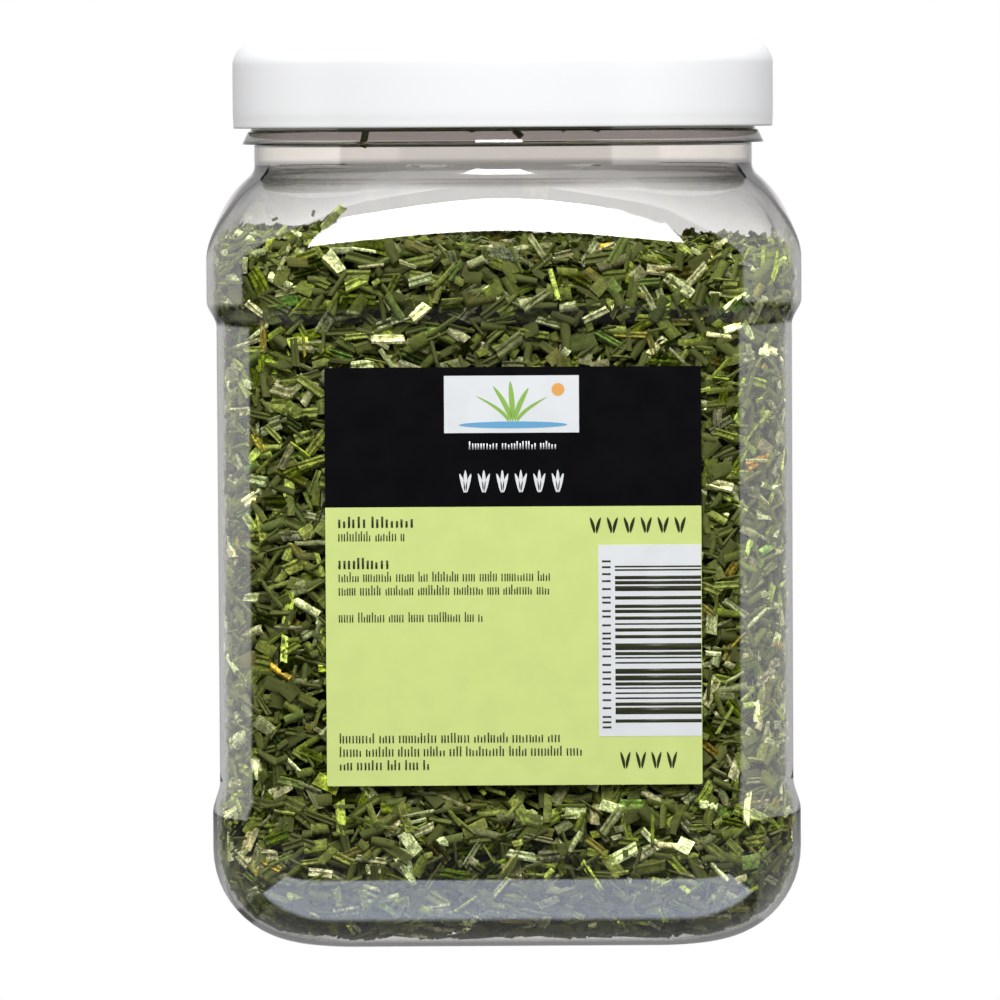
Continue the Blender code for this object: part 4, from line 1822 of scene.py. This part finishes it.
    def merge(self, name: str, bits: dict[str, np.ndarray], draw: np.random.Generator) -> bpy.types.Object:
        """Merge copies of the modelled bits into one piece with their colours and maps.

        Args:
            name: The piece's name.
            bits: The bits' places, directions, sizes and forms.
            draw: The random draw.

        Returns:
            The piece.
        """
        palette = np.array([tone for tone, _ in self.tones])
        weights = np.array([weight for _, weight in self.tones])
        points, faces, maps, ends, tones = [], [], [], [], []
        base = 0
        variant = draw.integers(0, self.variants, len(bits["kind"]))
        for number in range(len(self.forms)):
            for version in range(self.variants):
                chosen = (bits["kind"] == number) & (variant == version)
                count = int(chosen.sum())
                if not count:
                    continue
                model_points, model_faces, model_maps, model_ends = self.models[number][version]
                frame = np.stack([bits["main"][chosen], bits["across"][chosen], bits["normal"][chosen]], 1)
                scaled = model_points[None, :, :] * bits["size"][chosen][:, None, :]
                placed = np.einsum("bvk,bkx->bvx", scaled, frame) + bits["middle"][chosen][:, None, :]
                points.append(placed.reshape(-1, 3))
                offsets = base + np.arange(count)[:, None, None] * len(model_points)
                faces.append((model_faces[None] + offsets).reshape(-1, 3))
                base += count * len(model_points)
                shift = draw.uniform(0, 40, (count, 1, 2))
                maps.append((model_maps[None] + shift).reshape(-1, 2))
                ends.append(np.tile(model_ends, count))
                tone = palette[draw.choice(len(palette), count, p=weights / weights.sum())]
                tone = tone * np.exp(draw.normal(*self.brightness, (count, 1)))
                tone = tone * draw.uniform(0.93, 1.07, (count, 3))
                # Painted shade: darken the bits near the front below the shoulder.
                away = bits["middle"][chosen] - self.painted_shade_centre
                near = np.linalg.norm(away, axis=1, keepdims=True) / self.painted_shade_reach
                tone = tone * (1 - self.painted_shade_depth * np.exp(-near**2))
                given = bits["tone"][chosen]
                tone = np.where(np.isnan(given), tone, given)
                tones.append(np.repeat(tone, len(model_points), axis=0))
        all_faces, all_tones = np.vstack(faces), np.vstack(tones)
        obj = mesh_from_arrays(name, np.vstack(points), [all_faces])
        layer = obj.data.uv_layers.new(name="leaf")
        layer.data.foreach_set("uv", np.vstack(maps)[all_faces.reshape(-1)].astype(np.float32).reshape(-1))
        tone_layer = obj.data.color_attributes.new("leaf_tone", "FLOAT_COLOR", "POINT")
        full = np.column_stack([all_tones, np.ones(len(all_tones))]).astype(np.float32)
        tone_layer.data.foreach_set("color", full.reshape(-1))
        end_layer = obj.data.attributes.new("leaf_end", "FLOAT", "POINT")
        end_layer.data.foreach_set("value", np.concatenate(ends).astype(np.float32))
        smooth(obj, math.radians(50))
        return obj

    def core(self) -> bpy.types.Object:
        """The inner mass, a little inside the bits, painted near-black as the shade deep among them.

        Returns:
            The object.
        """
        shape = self.shape
        inset = shape.wall + self.core_depth
        rows = [row for row in shape.body(inset, 8, 3) if row[1] < self.top_middle - 0.010]
        rings = [shape.ring_points(row) for row in self.core_foot]
        rings += [shape.ring_points((row[0], max(row[1], inset * 0.9), row[2], row[3])) for row in rows]
        half, _, straight, squareness = rows[-1]
        for share, drop in self.core_top:
            plan = shape.ring_points((half * share, 0, straight * share, squareness))
            rings.append([
                (x, y, float(self.top_height(np.array(x), np.array(y))) - drop) for x, y, _ in plan
            ])
        core = loft("chives_core", rings)
        smooth(core)
        return core

    def build(self) -> None:
        """Make the core and the bits, and dress them."""
        self.prepare()
        draw = np.random.default_rng(self.seed)
        parts = [self.scatter(draw), self.strew_top(draw), self.cling()]
        bits = {key: np.concatenate([part[key] for part in parts]) for key in parts[0]}
        leaf = self.finish.build()
        for side in Side:
            chosen = bits["side"] == side.value
            part = {key: value[chosen] for key, value in bits.items()}
            piece = self.merge("chives_" + side.name.lower(), part, draw)
            dress(piece, leaf, Body.JAR, Slot.LEAF, "chives")
            LOG.info("%s holds %d bits", piece.name, len(part["kind"]))
        dress(self.core(), self.shaded_dust.build(), Body.JAR, Slot.LEAF, "chives")


# The studio


@dataclass(frozen=True)
class Panel:
    """A soft box: its middle, where it faces, its size, its brightness and whether glass mirrors it."""

    name: str
    place: Point
    target: Point
    width: float
    height: float
    brightness: float
    shown: bool = True


@dataclass
class Studio:
    """Floor, lamps, surroundings and camera. The mirrored values are brightness by azimuth in degrees."""

    camera_distance: float = 1.2
    camera_height: float = 0.1361
    camera_side: float = -0.00085
    camera_pitch: float = math.radians(3.06)
    camera_roll: float = math.radians(0.33)
    lens: float = 255.9
    backdrop: float = 1.0
    behind_glass: float = 0.9
    mirrored: tuple[tuple[float, float], ...] = (
        (-180, 0.45), (-150, 0.55), (-126, 0.90), (-82, 1.8), (-80, 0.0), (50, 0.0), (52, 1.75), (126, 0.85),
        (150, 0.5), (180, 0.45),
    )
    mirror_scale: float = 2.5
    horizon: tuple[float, float] = (-0.34, -0.07)
    fill: float = 0.14
    floor_reach: float = 0.30
    floor_sides: float = 0.26
    floor_front: tuple[float, float] = (0.28, 0.09)
    floor_near: float = 0.13
    floor_band: tuple[float, float] = (-0.0665, -0.0445)
    floor_band_half: float = 0.0500
    floor_band_brightness: float = 2.5
    floor_band_tint: Colour = (0.90, 0.98, 1.16)
    # Painted shadow: the floor's brightness under the jar, in reflections.
    floor_painted_shadow: float = 0.25
    panels: tuple[Panel, ...] = (
        Panel("top_front_box", (-0.026, -0.62, 0.78), (0.0, -0.04, 0.12), 0.262, 0.62, 21.0),
        Panel("right_box", (0.62, 0.02, 0.20), (0.0, 0.02, 0.10), 1.00, 0.95, 1.05, shown=False),
        Panel("left_box", (-0.62, 0.16, 0.20), (0.0, 0.04, 0.10), 0.90, 0.95, 1.15, shown=False),
        Panel("back_box", (0.12, 0.72, 0.48), (0.0, 0.0, 0.08), 0.80, 0.60, 2.6, shown=False),
    )
    floor_size: float = 8.0
    floor_edge: float = 0.0006

    def lamp(self, panel: Panel) -> None:
        """Add one soft box.

        Args:
            panel: The soft box.
        """
        data = bpy.data.lights.new(panel.name, "AREA")
        data.shape = "RECTANGLE"
        data.size, data.size_y = panel.width, panel.height
        data.energy = panel.brightness * math.pi * panel.width * panel.height
        obj = bpy.data.objects.new(panel.name, data)
        bpy.context.scene.collection.objects.link(obj)
        obj.location = panel.place
        obj.rotation_euler = (Vector(panel.target) - Vector(panel.place)).to_track_quat("-Z", "Y").to_euler()
        obj.visible_camera = False
        obj.visible_glossy = obj.visible_transmission = panel.shown

    def by_ray(self, shade: Shading, mirrored: object) -> bpy.types.NodeSocket:
        """How bright the surroundings are to each kind of ray.

        Args:
            shade: The node tree to work in.
            mirrored: Their brightness in reflections, as a number or a socket.

        Returns:
            The brightness: white straight on, a little less through the jar, soft on dull surfaces.
        """
        path = shade.node("LightPath")
        reflected = shade.math("MINIMUM", path.outputs["Glossy Depth"], 1.0)
        seen = shade.mix(path.outputs["Is Transmission Ray"], self.backdrop, self.behind_glass)
        return shade.mix(path.outputs["Is Diffuse Ray"], shade.mix(reflected, seen, mirrored), self.fill)

    def azimuth_pattern(self) -> bpy.types.NodeTree:
        """How bright the studio is by azimuth: dark in front, with soft boxes at both sides.

        Returns:
            A group with the inputs X and Y, a direction in plan, and the output Brightness.
        """
        tree, shade, given, put = new_group("studio_by_azimuth", {"X": 0.0, "Y": 0.0}, ["Brightness"])
        azimuth = shade.math("ARCTAN2", given.outputs["X"], shade.math("MULTIPLY", given.outputs["Y"], -1.0))
        stops = [(angle / 360 + 0.5, (value / self.mirror_scale,) * 3) for angle, value in self.mirrored]
        shares = shade.ramp(shade.spread(azimuth, -math.pi, math.pi), stops)
        shade.feed(put, {"Brightness": shade.math("MULTIPLY", shares, self.mirror_scale)})
        return tree

    def surroundings(self, pattern: bpy.types.NodeTree) -> None:
        """A white world to look at, soft boxes in mirrors, and a soft fill on dull surfaces.

        Args:
            pattern: The group of brightness by azimuth.
        """
        world = bpy.data.worlds.new("studio")
        bpy.context.scene.world = world
        world.use_nodes = True
        shade = Shading(world.node_tree)
        direction = shade.node("SeparateXYZ", {0: shade.node("TexCoord").outputs["Generated"]})
        sides = shade.group(pattern, X=direction.outputs[0], Y=direction.outputs[1])
        raised = shade.spread(direction.outputs[2], *self.horizon, soft=True)
        mirrored = shade.math("MULTIPLY", sides.outputs[0], raised)
        shade.feed(world.node_tree.nodes["Background"], {
            "Color": (1, 1, 1, 1), "Strength": self.by_ray(shade, mirrored),
        })

    def inside(
        self, shade: Shading, value: bpy.types.NodeSocket, low: float, high: float
    ) -> bpy.types.NodeSocket:
        """A mask of where a value lies between two limits, with soft edges.

        Args:
            shade: The node tree to work in.
            value: The value.
            low: The lower limit.
            high: The upper limit.

        Returns:
            The mask.
        """
        soft = self.floor_edge
        over = shade.spread(value, low - soft, low + soft)
        return shade.math("MULTIPLY", over, shade.spread(value, high + soft, high - soft))

    def floor(self, pattern: bpy.types.NodeTree) -> None:
        """A plain white floor to the camera. In reflections its brightness is painted light: bright at the
        jar's sides, a painted pool of light in a strip in front of it, fading with distance, and a painted
        shadow under the jar.

        Args:
            pattern: The group of brightness by azimuth.
        """
        deselect_all()
        bpy.ops.mesh.primitive_plane_add(size=self.floor_size, location=(0, 0, 0))
        floor = bpy.context.active_object
        floor.name = "floor"
        material = bpy.data.materials.new("white_floor")
        material.use_nodes = True
        shade = Shading(material.node_tree)
        where = shade.node("TexCoord").outputs["Object"]
        place = shade.node("SeparateXYZ", {0: where})
        width, deep = (shade.math("ABSOLUTE", place.outputs[axis]) for axis in (0, 1))
        far = shade.node("VectorMath", {0: where}, operation="LENGTH").outputs["Value"]
        ahead = self.inside(shade, width, -1.0, self.floor_band_half)
        # Painted pool of light: a bright, bluish strip in front of the jar, seen in reflections.
        strip = shade.math("MULTIPLY", self.inside(shade, place.outputs[1], *self.floor_band), ahead)
        # Painted shadow: the floor under the jar is dark in reflections.
        under = self.inside(shade, shade.math("MAXIMUM", width, deep), -1.0, abs(self.floor_band[1]))
        around = shade.group(pattern, X=place.outputs[0], Y=place.outputs[1])
        dimmed = shade.math("MULTIPLY", around.outputs[0], self.floor_sides)
        even = shade.math("MAXIMUM", dimmed, shade.mix(ahead, *self.floor_front))
        fading = shade.spread(far, self.floor_near, self.floor_reach, 1.0, 0.0, soft=True)
        open_floor = shade.mix(under, shade.math("MULTIPLY", even, fading), self.floor_painted_shadow)
        bright = shade.mix(strip, open_floor, self.floor_band_brightness)
        depth = shade.node("LightPath").outputs["Glossy Depth"]
        tinted = shade.node("Math", {0: strip, 1: depth}, operation="MULTIPLY", use_clamp=True).outputs[0]
        glow = shade.node("Emission", {
            "Color": shade.mix_colour(tinted, (1, 1, 1, 1), (*self.floor_band_tint, 1)),
            "Strength": self.by_ray(shade, bright),
        })
        passed = shade.math("MULTIPLY", shade.math("GREATER_THAN", far, self.floor_reach), depth)
        clear = shade.node("BsdfTransparent")
        both = shade.node("MixShader", {0: passed, 1: glow.outputs[0], 2: clear.outputs[0]})
        shade.feed(material.node_tree.nodes["Material Output"], {"Surface": both.outputs[0]})
        floor.data.materials.append(material)

    def camera(self) -> None:
        """The camera at the photograph's viewing angle."""
        data = bpy.data.cameras.new("camera")
        data.lens = self.lens
        data.sensor_width = 36.0
        data.clip_start, data.clip_end = 0.05, 50
        obj = bpy.data.objects.new("camera", data)
        bpy.context.scene.collection.objects.link(obj)
        level = Matrix.Rotation(-self.camera_roll, 4, "Z")
        look = Matrix.Rotation(math.pi / 2 - self.camera_pitch, 4, "X") @ level
        place = (self.camera_side, -self.camera_distance, self.camera_height)
        obj.matrix_world = Matrix.Translation(place) @ look
        bpy.context.scene.camera = obj

    def build(self) -> None:
        """Set up the whole studio."""
        pattern = self.azimuth_pattern()
        self.surroundings(pattern)
        for panel in self.panels:
            self.lamp(panel)
        self.floor(pattern)
        self.camera()
        scene = bpy.context.scene
        scene.view_settings.view_transform = "Standard"
        scene.view_settings.look = "None"
        scene.cycles.max_bounces = 14
        scene.cycles.transmission_bounces = 12
        scene.cycles.transparent_max_bounces = 16
        scene.cycles.caustics_reflective = False
        scene.cycles.caustics_refractive = False


def main() -> None:
    """Load the frame, build every piece around it, and set up the studio."""
    logging.basicConfig(level=logging.INFO, format="%(message)s")
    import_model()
    Studio().build()
    surface = moulded_surface()
    jar = Jar()
    jar.build(surface)
    Lid().build(jar, surface)
    Wad().build(surface)
    Label().build(surface)
    Filling().build()
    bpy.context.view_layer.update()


if __name__ == "__main__":
    main()
